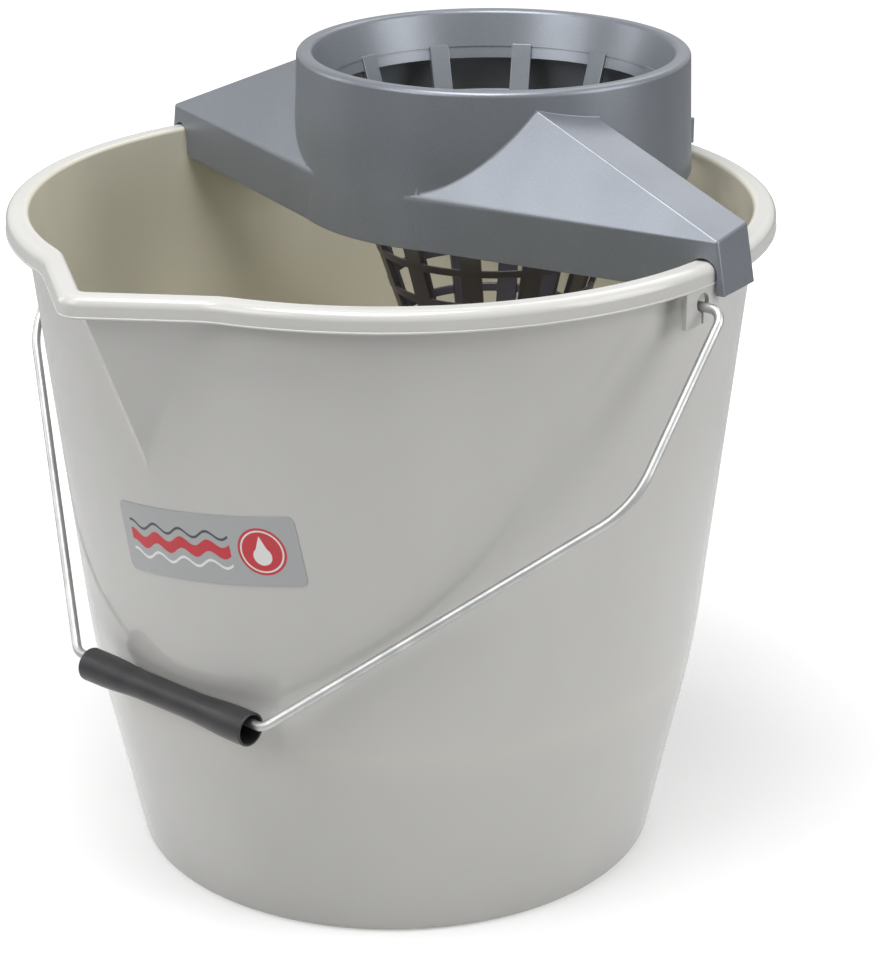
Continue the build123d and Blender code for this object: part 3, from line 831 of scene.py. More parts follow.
def smooth_max(first, second, soft):
    """The larger of two radii, with a soft fold where they are equal."""
    shared = max(soft - abs(first - second), 0.0)
    return max(first, second) + shared * shared / (4 * soft)


def spout_radius(turn, apex, flank, tip):
    """Distance from the axis to a V with a rounded point, at an angle from that point."""
    centre = apex - tip / cos(flank)
    if abs(turn) < atan2(tip * sin(flank), centre + tip * cos(flank)):
        return centre * cos(turn) + sqrt(tip**2 - (centre * sin(turn))**2)
    return apex * cos(flank) / cos(min(abs(turn), flank) - flank)


def polar(radius, turn, z):
    """A point at an angle from the spout."""
    return Vector((radius * sin(turn), -radius * cos(turn), z))


class BucketShape:
    """Radii of the bucket, worked out from its sizes and the frame."""

    def __init__(self, sizes):
        self.sizes = sizes
        self.height = BUCKET_HIGH.z
        self.rim = BUCKET_HIGH.x
        self.skirt_z = self.height - sizes.rim_drop
        self.wall_slope = (sizes.neck_radius - sizes.knee_radius) / (self.skirt_z - sizes.knee_height)
        self.foot_slope = (sizes.knee_radius - sizes.base_radius) / sizes.knee_height
        self.inset = sizes.wall * sqrt(1 + self.wall_slope**2)
        self.rim_apex = sizes.tip_radius * (1 / cos(sizes.flank_angle) - 1) - BUCKET_LOW.y
        self.ridge_foot = self.rim_apex - sizes.shoulder / cos(sizes.flank_angle)
        spout_lean = tan(sizes.flank_angle)**2 + tan(sizes.lean)**2
        self.spout_inset = sizes.wall * sqrt(1 + spout_lean)

    def cone(self, z):
        """Outer radius of the wall's two cones, with a soft knee."""
        sizes = self.sizes
        below = sizes.base_radius + self.foot_slope * z
        above = sizes.knee_radius + self.wall_slope * (z - sizes.knee_height)
        into = z - sizes.knee_height + sizes.knee_soft
        if into <= 0:
            return below
        if into >= 2 * sizes.knee_soft:
            return above
        return below - (self.foot_slope - self.wall_slope) * into**2 / (4 * sizes.knee_soft)

    def ridge(self, z):
        """How far the spout's flanks would reach at a height."""
        return self.ridge_foot + tan(self.sizes.lean) * (z - self.skirt_z)

    def outside(self, turn, z):
        """Outer radius of the wall with its spout."""
        spout = spout_radius(turn, self.ridge(z), self.sizes.flank_angle, self.sizes.ridge_radius)
        return smooth_max(self.cone(z), spout, self.sizes.fold)

    def inside(self, turn, z):
        """Inner radius of the wall with its spout."""
        apex = self.ridge(z) - self.spout_inset
        spout = spout_radius(turn, apex, self.sizes.flank_angle, self.sizes.lip_radius)
        return smooth_max(self.cone(z) - self.inset, spout, self.sizes.fold)

    def rim_radius(self, turn):
        """Outer radius of the rim: a ring, a V and the arcs that join them."""
        sizes = self.sizes
        near = self.rim_apex * cos(sizes.flank_angle) + sizes.blend_radius
        reach = self.rim + sizes.blend_radius
        arc_middle = sizes.flank_angle - acos(near / reach)
        arc_start = sizes.flank_angle - atan(sqrt(reach**2 - near**2) / (near - sizes.blend_radius))
        if abs(turn) >= arc_middle:
            return self.rim
        if abs(turn) <= arc_start:
            return spout_radius(turn, self.rim_apex, sizes.flank_angle, sizes.tip_radius)
        aside = abs(turn) - arc_middle
        return reach * cos(aside) - sqrt(sizes.blend_radius**2 - (reach * sin(aside))**2)

    def rim_point(self, turn, inset, z):
        """A point of the rim, drawn in square to its outline."""
        radius = self.rim_radius(turn)
        rise = (self.rim_radius(turn + SLOPE_STEP) - self.rim_radius(turn - SLOPE_STEP)) / (2 * SLOPE_STEP)
        out = Vector((sin(turn), -cos(turn), 0))
        along = Vector((cos(turn), sin(turn), 0))
        square = (out * radius - along * rise).normalized()
        return out * radius - square * inset + Vector((0, 0, z))


def bucket_columns():
    """Angles round from the spout, closest together at its ridge."""
    half = FIRST_COLUMNS + [value for band in COLUMN_BANDS for value in spread(*band)]
    return [radians(value) for value in [-value for value in reversed(half[1:])] + half + [LAST_COLUMN]]


def bucket_rings(shape):
    """Rings of points from the middle of the base, up outside, over the rim and down inside."""
    sizes = shape.sizes
    turns = bucket_columns()
    lean = atan(shape.foot_slope)
    top = shape.height
    rings = []

    def round_ring(radius, z):
        rings.append([polar(radius, turn, z) for turn in turns])

    def wall_ring(radius_at, z, extra=0.0):
        rings.append([polar(radius_at(turn, z) + extra, turn, z) for turn in turns])

    def rim_ring(inset, z):
        rings.append([shape.rim_point(turn, inset, z) for turn in turns])

    edge = sizes.base_edge
    edge_r = sizes.base_radius + shape.foot_slope * edge - edge / cos(lean)
    foot_in = edge_r - sizes.foot_width
    for share in (*BASE_SHARES, 1.0):
        round_ring((foot_in - sizes.foot_recess) * share, sizes.foot_recess)
    round_ring(foot_in, 0.0)
    for swing in spread(-pi / 2, -lean, EDGE_STEPS):
        round_ring(edge_r + edge * cos(swing), edge + edge * sin(swing))
    underside = top - sizes.rim_top
    start = edge * (1 - sin(lean))
    knee_low, knee_high = sizes.knee_height - sizes.knee_soft, sizes.knee_height + sizes.knee_soft
    foot_band = spread(start, knee_low, FOOT_STEPS)
    knee_band = spread(knee_low, knee_high, KNEE_STEPS)
    wall_band = spread(knee_high, underside, WALL_STEPS)
    for z in foot_band[1:] + knee_band[1:] + wall_band[1:]:
        wall_ring(shape.outside, z)
    rim_ring(sizes.rim_skirt, underside)
    bead = sizes.bead_height
    foot = shape.skirt_z
    rim_ring(sizes.rim_skirt, foot + bead)
    rim_ring(sizes.rim_skirt - BEAD_IN * bead, foot + BEAD_LOW * bead)
    rim_ring(sizes.rim_skirt / 2, foot)
    for swing in spread(-pi / 2, pi / 2, BEAD_STEPS):
        rim_ring(sizes.bead_out - sizes.bead_out * cos(swing), foot + bead / 2 + bead / 2 * sin(swing))
    rim_ring(sizes.bead_out, foot + BEAD_OVER * bead)
    crown = sizes.rim_crown
    for swing in spread(0, pi / 2, CROWN_STEPS):
        rim_ring(sizes.bead_out + crown - crown * cos(swing), top - crown + crown * sin(swing))
    mouth = sizes.rim_mouth
    for swing in spread(pi / 2, 0, MOUTH_STEPS):
        wall_ring(shape.inside, top - mouth + mouth * sin(swing), mouth - mouth * cos(swing))
    fillet_z = sizes.floor + edge
    for z in spread(top - mouth, fillet_z, INNER_STEPS)[1:]:
        wall_ring(shape.inside, z)
    inner = shape.cone(fillet_z) - shape.inset - edge
    for swing in spread(0, pi / 2, MOUTH_STEPS)[1:]:
        round_ring(inner + edge * cos(swing), fillet_z - edge * sin(swing))
    for share in reversed(BASE_SHARES):
        round_ring(inner * share, sizes.floor)
    return rings


def ear_outline(shape):
    """Outline of an ear: a tongue with a hole that is open below through a slit."""
    sizes = shape.sizes
    half, slit = sizes.ear_width / 2, sizes.ear_slit / 2
    foot = shape.skirt_z - sizes.ear_drop
    top = shape.skirt_z + sizes.bead_height
    hole_z = PIVOT.z + sizes.ear_hole_rise
    gap = asin(slit / sizes.ear_hole)
    hole = [
        (sizes.ear_hole * sin(swing), hole_z - sizes.ear_hole * cos(swing))
        for swing in spread(-gap, gap - 2 * pi, HOLE_STEPS)
    ]
    return [(-half, foot), (-slit, foot), *hole, (slit, foot), (half, foot), (half, top), (-half, top)]


def make_bucket(sizes, tones):
    """The bucket's moulding: wall, spout, rolled rim and two ears."""
    shape = BucketShape(sizes)
    material = bucket_plastic(tones, sizes)
    mesh = outward(ring_mesh("Bucket", bucket_rings(shape), True))
    piece = add_piece("Bucket", mesh, material)
    face = shape.rim - sizes.ear_inset
    for side in (1, -1):
        ear = prism(
            "Ear",
            ear_outline(shape),
            side * face,
            side * (face - sizes.ear_depth),
            lambda point, x: Vector((x, point[0], point[1])),
        )
        tool = add_piece("Ear", ear, material)
        round_edges(tool, sizes.ear_edge)
        combine(piece, settle(tool), "UNION")
    return shade(piece, SHARP_TURN["bucket"])


# Label

FILM_COLUMNS, FILM_ROWS, CORNER_STEPS = 48, 10, 5


def make_label(sizes, bucket_sizes, tones):
    """A thin printed film that follows the wall."""
    shape = BucketShape(bucket_sizes)
    middle_z = (LABEL_LOW.z + LABEL_HIGH.z) / 2
    out = Vector((sin(sizes.turn), -cos(sizes.turn), 0))
    level = Vector((cos(sizes.turn), sin(sizes.turn), 0))
    up = Vector((0, 0, 1))
    right = level * cos(sizes.tilt) + up * sin(sizes.tilt)
    rise = up * cos(sizes.tilt) - level * sin(sizes.tilt)
    half_w, half_h, corner = sizes.width / 2, sizes.height / 2, sizes.corner
    rows = []
    for swing in spread(0, pi / 2, CORNER_STEPS):
        rows.append((half_h - corner + corner * cos(swing), half_w - corner + corner * sin(swing)))
    rows += [(v, half_w) for v in spread(half_h - corner, corner - half_h, FILM_ROWS)[1:-1]]
    rows += [(-v, u) for v, u in reversed(rows[:CORNER_STEPS + 1])]
    points, places, faces = [], [], []
    for v, reach in rows:
        for u in spread(-reach, reach, FILM_COLUMNS):
            flat = right * u + rise * v
            z = middle_z + flat.z
            radius = shape.cone(z) + sizes.glue + sizes.film
            aside = flat.dot(level)
            points.append(level * aside + out * sqrt(radius**2 - aside**2) + up * z)
            places.append((u / sizes.width + 0.5, v / sizes.height + 0.5))
    wide = FILM_COLUMNS + 1
    for row in range(len(rows) - 1):
        for column in range(FILM_COLUMNS):
            first = row * wide + column
            faces.append((first, first + wide, first + wide + 1, first + 1))
    mesh = bpy.data.meshes.new("Label")
    mesh.from_pydata(points, [], faces)
    spots = mesh.uv_layers.new(name="film")
    for loop in mesh.loops:
        spots.data[loop.index].uv = places[loop.vertex_index]
    piece = add_piece("Label", mesh, label_film(tones, sizes))
    skin = piece.modifiers.new("Film", "SOLIDIFY")
    skin.thickness = sizes.film
    skin.offset = -1
    return shade(settle(piece), SHARP_TURN["label"])


# Bail and grip

BEND_STEPS, WIRE_SIDES = 14, 20
GRIP_STEPS, GRIP_SIDES, GRIP_EDGE_STEPS = 72, 64, 4


def wire_tree(material):
    """A wire along bent runs, whose bends are the points' own radii."""
    build, given, output = geometry_tree("Bent Wire", [("Wire Radius", "NodeSocketFloat")])
    radius = build.add("GeometryNodeInputRadius").outputs[0]
    bends = build.add(
        "GeometryNodeFilletCurve",
        {"Curve": given["Geometry"], "Radius": radius, "Count": BEND_STEPS},
        mode="POLY",
    )
    even = build.add("GeometryNodeSetCurveRadius", {"Curve": bends.outputs[0], "Radius": 1.0})
    circle = {"Resolution": WIRE_SIDES, "Radius": given["Wire Radius"]}
    section = build.add("GeometryNodeCurvePrimitiveCircle", circle)
    wire = build.add(
        "GeometryNodeCurveToMesh",
        {"Curve": even.outputs[0], "Profile Curve": section.outputs[0], "Fill Caps": True},
    )
    return finish_tree(build, wire.outputs[0], material, output)


def make_bail(sizes, tones):
    """The zinc wire from ear to ear, hanging against the bucket."""
    hang = Vector((0, GRIP_AXIS.y - PIVOT.y, GRIP_AXIS.z - PIVOT.z))
    reach = hang.length - sizes.grip_sag
    hang.normalize()
    half = WIRE_HIGH.x - sizes.wire / 2
    run = (GRIP_HIGH.x - GRIP_LOW.x) / 2 + GRIP_AXIS.x + sizes.run_spare
    right = [
        (run, reach, sizes.grip_bend),
        (half, sizes.leg, sizes.leg_bend),
        (half, 0, sizes.ear_bend),
        (sizes.tail, 0, 0),
    ]
    route = [(-x, down, bend) for x, down, bend in reversed(right)] + right
    curve = bpy.data.curves.new("BailWire", "CURVE")
    curve.dimensions = "3D"
    spline = curve.splines.new("POLY")
    spline.points.add(len(route) - 1)
    for point, (x, down, bend) in zip(spline.points, route):
        point.co = (*(PIVOT + Vector((x, 0, 0)) + hang * down), 1)
        point.radius = bend
    source = bpy.data.objects.new("BailWire", curve)
    bpy.context.scene.collection.objects.link(source)
    material = zinc_wire(tones)
    mesh = run_tree(source, wire_tree(material), {"Wire Radius": sizes.wire / 2})
    bpy.data.curves.remove(curve)
    piece = add_piece("BailWire", outward(mesh), material)
    round_edges(piece, WIRE_BEVEL_SHARE * sizes.wire, WIRE_BEVEL_TURN)
    return shade(settle(piece), SHARP_TURN["wire"])


def make_grip(sizes, tones):
    """A loose tube with thicker ends, turned about the wire."""
    half = (GRIP_HIGH.x - GRIP_LOW.x) / 2
    taper_end = half - sizes.grip_end_len
    edge = sizes.grip_edge

    def outer(x):
        share = min(max((taper_end - abs(x)) / sizes.grip_taper, 0.0), 1.0)
        return sizes.grip_end + (sizes.grip_waist - sizes.grip_end) * share * share * (3 - 2 * share)

    profile = [(x, outer(x)) for x in spread(edge - half, half - edge, GRIP_STEPS)]
    profile += [
        (half - edge + edge * sin(swing), sizes.grip_end - edge + edge * cos(swing))
        for swing in spread(0, pi / 2, GRIP_EDGE_STEPS)[1:]
    ]
    profile += [(half, sizes.grip_mouth + edge / 2), (half - edge / 2, sizes.grip_mouth)]
    profile += [(half - sizes.grip_mouth_len, sizes.grip_bore), (0, sizes.grip_bore)]
    inside = [(-x, radius) for x, radius in reversed(profile[GRIP_STEPS + 1:-1])]
    swings = spread(0, 2 * pi, GRIP_SIDES)[:-1]
    rings = []
    for x, radius in profile + inside:
        ring = [Vector((x, radius * cos(swing), radius * sin(swing))) for swing in swings]
        rings.append([GRIP_AXIS + point for point in ring])
    piece = add_piece("Grip", outward(ring_mesh("Grip", rings, False)), grip_plastic(tones))
    return shade(piece, SHARP_TURN["grip"])


# Wringer

# Steps of the rounded corners, and the turn below which faces of a hull are one flat face
BALL_ROWS, BALL_COLUMNS = 24, 60
FLAT_TURN = radians(0.3)
CREST_TRIES, JOINT_TRIES = 40, 8
COLLAR_STEPS, OUTER_LIP_STEPS, INNER_LIP_STEPS, CONE_STEPS = 14, 7, 6, 4
# Turn from the front tip to the fillet's start, and how far the fillets pass each other at the crest
FILLET_START, FILLET_PASS = 0.13, 0.004
FLANK_STEPS, STRIP_STEPS, FILLET_STEPS = 36, 14, 6
PLATE_STEPS, ARCH_STEPS = 12, 12
SIDE_STEPS, BAR_STEPS = 4, 2
DISC_SIDES, DRAIN_SIDES = 96, 28
# What counts as the disc's edge, as a share of its radius, and as its underside, in metres
DISC_EDGE, DISC_UNDER = 0.97, -1e-5


class WringerShape:
    """Planes, corners and radii of the wringer, in its own frame on the bucket's axis."""

    def __init__(self, sizes):
        self.sizes = sizes
        rim_z = BUCKET_HIGH.z
        axis = (FLOOR_LOW + FLOOR_HIGH) / 2
        self.turn = -atan2(axis.x, axis.y)
        self.axis_y = hypot(axis.x, axis.y)
        self.to_world = Matrix.Translation((0, 0, rim_z)) @ Matrix.Rotation(self.turn, 4, "Z")
        self.foot = FRAME_LOW.z - rim_z
        self.top = FRAME_HIGH.z - rim_z
        self.basket_top = BASKET_HIGH.z - rim_z
        self.basket_foot = BASKET_LOW.z - rim_z
        self.floor_foot = FLOOR_LOW.z - rim_z
        self.basket_radius = (BASKET_HIGH.x - BASKET_LOW.x) / 2
        self.find_wing()

    def collar(self, z):
        """Outer radius of the collar."""
        share = (self.top - z) / (self.top - self.foot)
        return self.sizes.collar_radius + self.sizes.collar_flare * share

    def on_collar(self, swing, z):
        """A point of the collar at an angle from the right."""
        radius = self.collar(z)
        return Vector((radius * cos(swing), self.axis_y + radius * sin(swing), z))

    def cone(self, z):
        """Outer radius of the basket's cone."""
        return self.basket_radius + tan(self.sizes.cone) * (z - self.basket_top)

    def find_wing(self):
        """Work out the planes of the right wing, each as a point and an outward normal."""
        sizes = self.sizes
        landing = sizes.landing
        up = Vector((0, 0, 1))
        end_dir = Vector((cos(sizes.end_angle), sin(sizes.end_angle), 0))
        across = Vector((-end_dir.y, end_dir.x, 0))
        end = end_dir * sizes.end_radius + up * landing
        near = end - across * (sizes.end_width / 2)
        far = end + across * (sizes.end_width / 2)
        aside = near - Vector((0, self.axis_y, 0))
        radius = self.collar(landing)
        self.touch_swing = atan2(aside.y, aside.x) - acos(radius / hypot(aside.x, aside.y))
        self.touch = self.on_collar(self.touch_swing, landing)
        self.front_dir = (near - self.touch).normalized()
        front_out = Vector((self.front_dir.y, -self.front_dir.x, 0))
        root = self.on_collar(-sizes.strip_root, self.foot)
        rear_dir = Vector((far.x - root.x, far.y - root.y, 0)).normalized()
        self.planes = {
            "front": (self.touch, front_out),
            "flank": (self.touch, front_out * cos(sizes.flank_lean) + up * sin(sizes.flank_lean)),
            "strip": (near, Vector((sin(sizes.strip_slope), 0, cos(sizes.strip_slope)))),
            "end": (end, end_dir * cos(sizes.end_splay) + up * sin(sizes.end_splay)),
            "rear": (far, Vector((-rear_dir.y, rear_dir.x, 0))),
            "inner": (self.touch, -self.front_dir),
            "foot": (up * self.foot, -up),
            "end_foot": (up * -sizes.end_drop, -up),
            "open_foot": (up * 2 * self.foot, -up),
        }
        low, high = self.touch_swing, -sizes.strip_root
        for _ in range(CREST_TRIES):
            self.crest_swing = (low + high) / 2
            if self.joint(self.crest_swing, "flank").z < self.joint(self.crest_swing, "strip").z:
                low = self.crest_swing
            else:
                high = self.crest_swing

    def joint(self, swing, name):
        """Where a plane of the wing meets the collar, at an angle from the right."""
        spot, normal = self.planes[name]
        z = self.sizes.landing
        for _ in range(JOINT_TRIES):
            aside = self.on_collar(swing, z) - spot
            z = spot.z - (aside.x * normal.x + aside.y * normal.y) / normal.z
        return self.on_collar(swing, z)

    def corner(self, names, insets):
        """The point that lies behind three planes by the given insets."""
        planes = [self.planes[name] for name in names]
        reach = [spot.dot(normal) - inset for (spot, normal), inset in zip(planes, insets)]
        return Matrix([normal for _, normal in planes]).inverted() @ Vector(reach)


WING_CORNERS = (
    (("front", "flank", "inner"), "foot_line"),
    (("flank", "strip", "inner"), "crest"),
    (("rear", "strip", "inner"), "crest"),
    (("front", "strip", "end"), "wing_end"),
    (("rear", "strip", "end"), "wing_end"),
    (("front", "inner", "foot"), "small_edge"),
    (("rear", "inner", "foot"), "small_edge"),
    (("front", "end", "end_foot"), "small_edge"),
    (("rear", "end", "end_foot"), "small_edge"),
)


def ball_points(middle, radius, normals):
    """Points of a ball, with those where it touches the given planes."""
    points = [middle + normal * radius for normal in normals]
    for rise in spread(-pi / 2, pi / 2, BALL_ROWS):
        for swing in spread(0, 2 * pi, BALL_COLUMNS)[:-1]:
            way = Vector((cos(rise) * cos(swing), cos(rise) * sin(swing), sin(rise)))
            points.append(middle + way * radius)
    return points


def both_sides(points):
    """The points of the right side and of the left side."""
    return [points, [Vector((-point.x, point.y, point.z)) for point in points]]


def hull_mesh(name, clouds, to_world):
    """One closed convex shell round each cloud of points."""
    work = bmesh.new()
    for cloud in clouds:
        verts = [work.verts.new(to_world @ point) for point in cloud]
        found = bmesh.ops.convex_hull(work, input=verts, use_existing_faces=False)
        spare = set(found["geom_interior"] + found["geom_unused"])
        spare_verts = [item for item in spare if isinstance(item, bmesh.types.BMVert)]
        bmesh.ops.delete(work, geom=spare_verts, context="VERTS")
    bmesh.ops.remove_doubles(work, verts=work.verts, dist=WELD)
    bmesh.ops.dissolve_limit(work, angle_limit=FLAT_TURN, verts=work.verts, edges=work.edges)
    bmesh.ops.recalc_face_normals(work, faces=work.faces)
    mesh = bpy.data.meshes.new(name)
    work.to_mesh(mesh)
    work.free()
    return mesh


def wing_mesh(shape):
    """Both wings as closed solids with soft edges, reaching into the collar."""
    points = []
    for names, size in WING_CORNERS:
        radius = getattr(shape.sizes, size)
        insets = [0.0 if name == "inner" else radius for name in names]
        normals = [shape.planes[name][1] for name in names]
        points += ball_points(shape.corner(names, insets), radius, normals)
    return hull_mesh("WringerFrame", both_sides(points), shape.to_world)


def hollow_mesh(shape):
    """The room inside both wings, open below."""
    points = []
    for names, _ in WING_CORNERS:
        names = ["open_foot" if name.endswith("foot") else name for name in names]
        insets = [0.0 if name in ("inner", "open_foot") else shape.sizes.wall for name in names]
        points.append(shape.corner(names, insets))
    return hull_mesh("WingHollow", both_sides(points), shape.to_world)


def turned_mesh(name, shape, profile, middle_y):
    """A closed profile of radii and heights, turned about an upright axis."""
    rings = []
    for radius, z in profile:
        ring = []
        for swing in spread(0, 2 * pi, TURN_STEPS)[:-1]:
            ring.append(shape.to_world @ Vector((radius * cos(swing), middle_y + radius * sin(swing), z)))
        rings.append(ring)
    return outward(ring_mesh(name, rings, False))


def collar_profile(shape):
    """The collar's section: its wall, rolled lip and the cone inside."""
    sizes = shape.sizes
    lip, wall, edge = sizes.lip_radius, sizes.wall, sizes.small_edge
    foot = shape.foot
    ring_inset = (sizes.bar_depth + sizes.hoop_depth) / 2 / cos(sizes.cone)
    profile = [(shape.collar(foot) - edge, foot)]
    profile += [(shape.collar(z), z) for z in spread(foot + edge, shape.top - lip, COLLAR_STEPS)]
    outer = shape.collar(shape.top - lip) - lip
    inner = shape.cone(shape.top - lip) - ring_inset + lip / cos(sizes.cone)
    outer_bends = spread(0, pi / 2, OUTER_LIP_STEPS)[1:]
    inner_bends = spread(pi / 2, pi - sizes.cone, INNER_LIP_STEPS)
    for middle, bends in ((outer, outer_bends), (inner, inner_bends)):
        profile += [(middle + lip * cos(bend), shape.top - lip + lip * sin(bend)) for bend in bends]
    seam = shape.basket_top - 3 * edge
    profile += [(shape.cone(z) - ring_inset, z) for z in spread(profile[-1][1], seam, CONE_STEPS)[1:]]
    under = shape.top - wall
    profile += [(shape.cone(seam) - edge, seam), (shape.cone(under) - edge, under)]
    profile += [(shape.collar(under) - wall, under), (shape.collar(foot) - wall, foot)]
    return profile


def core_profile(shape):
    """A solid that fills the collar out to the middle of its wall."""
    half = shape.sizes.wall / 2
    low, high = 2 * shape.foot, 2 * shape.top
    return [(half, low), (shape.collar(low) - half, low), (shape.collar(high) - half, high), (half, high)]


def fillet_mesh(shape, name, swings, radii, side):
    """A slim body that fills the corner between the collar and a plane of the wing."""
    normal = shape.planes[name][1]
    tilt = shape.sizes.collar_flare / (shape.top - shape.foot)
    dip = shape.sizes.small_edge / 5
    rings = []
    for swing, radius in zip(swings, radii):
        spot = shape.joint(swing, name)
        out = Vector((cos(swing), sin(swing), tilt)).normalized()
        middle = spot + (out + normal) * (radius / (1 + out.dot(normal)))
        ring = [middle - out * (radius + dip)]
        shares = spread(0, 1, FILLET_STEPS)[1:-1]
        ring += [middle - out.slerp(normal, share) * radius for share in shares]
        ring += [middle - normal * (radius + dip), spot - (out + normal) * (2 * dip)]
        flipped = [Vector((side * point.x, point.y, point.z)) for point in ring]
        rings.append([shape.to_world @ point for point in flipped])
    return outward(ring_mesh("Fillet", rings, True))


def fillet_meshes(shape):
    """The soft corners along the collar, widest at the front of each wing."""
    sizes = shape.sizes
    start = shape.touch_swing + FILLET_START
    flank = spread(start, shape.crest_swing + FILLET_PASS, FLANK_STEPS)
    flank_radii = spread(sizes.foot_line / 2, sizes.crest, FLANK_STEPS)
    strip = spread(shape.crest_swing - FILLET_PASS, -sizes.strip_root, STRIP_STEPS)
    for side in (1, -1):
        yield fillet_mesh(shape, "flank", flank, flank_radii, side)
        yield fillet_mesh(shape, "strip", strip, [sizes.crest] * len(strip), side)


def hook_meshes(shape):
    """The plate, lip and ribs of the rear hook as closed solids."""
    sizes = shape.sizes
    inner = shape.collar(sizes.landing) - sizes.wall / 2
    lip_y = BUCKET_HIGH.x + sizes.hook_gap
    rear_y = lip_y + sizes.hook_lip
    half = sizes.hook_half

    def collar_edge(x):
        return (x, shape.axis_y + sqrt(inner**2 - x**2))

    plate = [collar_edge(x) for x in spread(-half, half, PLATE_STEPS)] + [(half, rear_y), (-half, rear_y)]
    under = sizes.landing - sizes.hook_plate
    overlap = sizes.hook_plate / 4
    outlines = [(plate, sizes.landing, under)]
    lip = [(-half, lip_y), (half, lip_y), (half, rear_y), (-half, rear_y)]
    outlines.append((lip, under + overlap, under - sizes.hook_drop))
    for side in (1, -1):
        left, right = side * sizes.hook_rib - sizes.hook_lip / 2, side * sizes.hook_rib + sizes.hook_lip / 2
        rib = [collar_edge(left), collar_edge(right), (right, lip_y + overlap), (left, lip_y + overlap)]
        outlines.append((rib, under + overlap, under - sizes.hook_drop))
    for outline, top, foot in outlines:
        yield prism("Hook", outline, foot, top, lambda point, z: shape.to_world @ Vector((*point, z)))


def skirt_mesh(shape):
    """The block that is cut away below the skirt's edge behind the wings."""
    sizes = shape.sizes
    half = shape.collar(shape.foot) + sizes.wall
    front = shape.axis_y - sizes.rear_start
    outline = [(-half, front), (half, front), (half, front + 2 * half), (-half, front + 2 * half)]
    low, high = 2 * shape.foot, sizes.rear_skirt
    return prism("SkirtCut", outline, low, high, lambda point, z: shape.to_world @ Vector((*point, z)))


def arch_profile(shape):
    """The section of the arched slot over the bucket's rim."""
    sizes = shape.sizes
    low = 3 * shape.foot
    arch = (sizes.slot_outside - sizes.slot_inside) / 2
    middle = (sizes.slot_outside + sizes.slot_inside) / 2
    profile = [(sizes.slot_outside, low)]
    for swing in spread(0, pi, ARCH_STEPS):
        profile.append((middle + arch * cos(swing), sizes.slot_top - arch + arch * sin(swing)))
    return profile + [(sizes.slot_inside, low)]


def make_frame(sizes, material):
    """The wringer's collar, its two wings and the hook at the rear."""
    shape = WringerShape(sizes)
    piece = add_piece("WringerFrame", wing_mesh(shape), material)

    def join(mesh, operation, edge=0.0):
        tool = add_piece("Tool", mesh, material)
        if edge:
            round_edges(tool, edge)
            settle(tool)
        combine(piece, tool, operation)

    join(hollow_mesh(shape), "DIFFERENCE")
    join(turned_mesh("Core", shape, core_profile(shape), shape.axis_y), "DIFFERENCE")
    join(turned_mesh("Collar", shape, collar_profile(shape), shape.axis_y), "UNION")
    for mesh in fillet_meshes(shape):
        join(mesh, "UNION")
    join(skirt_mesh(shape), "DIFFERENCE")
    for mesh in hook_meshes(shape):
        join(mesh, "UNION", sizes.small_edge)
    join(turned_mesh("Arch", shape, arch_profile(shape), 0.0), "DIFFERENCE")
    return shade(piece, SHARP_TURN["frame"])


def stave_mesh(shape):
    """One bar of the basket with half of each hoop on either side."""
    sizes = shape.sizes
    levels = [shape.basket_top, sizes.slot_start]
    hoops = [True]
    while levels[-1] - sizes.slot_height > shape.basket_foot:
        levels.append(levels[-1] - sizes.slot_height)
        hoops.append(False)
        if levels[-1] - sizes.hoop_height > shape.basket_foot:
            levels.append(levels[-1] - sizes.hoop_height)
            hoops.append(True)
    levels.append(shape.basket_foot)
    hoops.append(False)
    insets = [0.0, sizes.hoop_depth / cos(sizes.cone), sizes.bar_depth / cos(sizes.cone)]
    half = sizes.bar_width / 2
    cut = pi / sizes.bars
    first_bar, last_bar = SIDE_STEPS, SIDE_STEPS + BAR_STEPS
    count = 2 * SIDE_STEPS + BAR_STEPS
    work = bmesh.new()
    known = {}

    def vert(row, column, depth):
        key = (row, column, depth)
        if key not in known:
            radius = shape.cone(levels[row]) - insets[depth]
            edge = asin(half / radius)
            if column <= first_bar:
                swing = -cut + (cut - edge) * column / SIDE_STEPS
            elif column >= last_bar:
                swing = edge + (cut - edge) * (column - last_bar) / SIDE_STEPS
            else:
                swing = -edge + 2 * edge * (column - first_bar) / BAR_STEPS
            swing += sizes.bar_turn
            spot = Vector((radius * cos(swing), shape.axis_y + radius * sin(swing), levels[row]))
            known[key] = work.verts.new(shape.to_world @ spot)
        return known[key]

    def face(*keys):
        work.faces.new([vert(*key) for key in keys])

    for row, hoop in enumerate(hoops):
        for column in range(count):
            bar = first_bar <= column < last_bar
            if not (bar or hoop):
                continue
            depth = 2 if bar else 1
            for layer in (0, depth):
                upper = [(row, column, layer), (row, column + 1, layer)]
                face(*upper, (row + 1, column + 1, layer), (row + 1, column, layer))
            if not bar:
                for level in (row, row + 1):
                    outer = [(level, column, 0), (level, column + 1, 0)]
                    face(*outer, (level, column + 1, 1), (level, column, 1))
        for column in (first_bar, last_bar):
            layers = (1, 2) if hoop else (0, 1, 2)
            upper = [(row, column, layer) for layer in layers]
            lower = [(row + 1, column, layer) for layer in reversed(layers)]
            face(*upper, *lower)
    for row in (0, len(hoops)):
        for column in range(first_bar, last_bar):
            outer = [(row, column, 0), (row, column + 1, 0)]
            ends = [(row, column + 1, 1)] if column + 1 == last_bar else []
            starts = [(row, column, 1)] if column == first_bar else []
            face(*outer, *ends, (row, column + 1, 2), (row, column, 2), *starts)
    mesh = bpy.data.meshes.new("Stave")
    work.to_mesh(mesh)
    work.free()
    return mesh


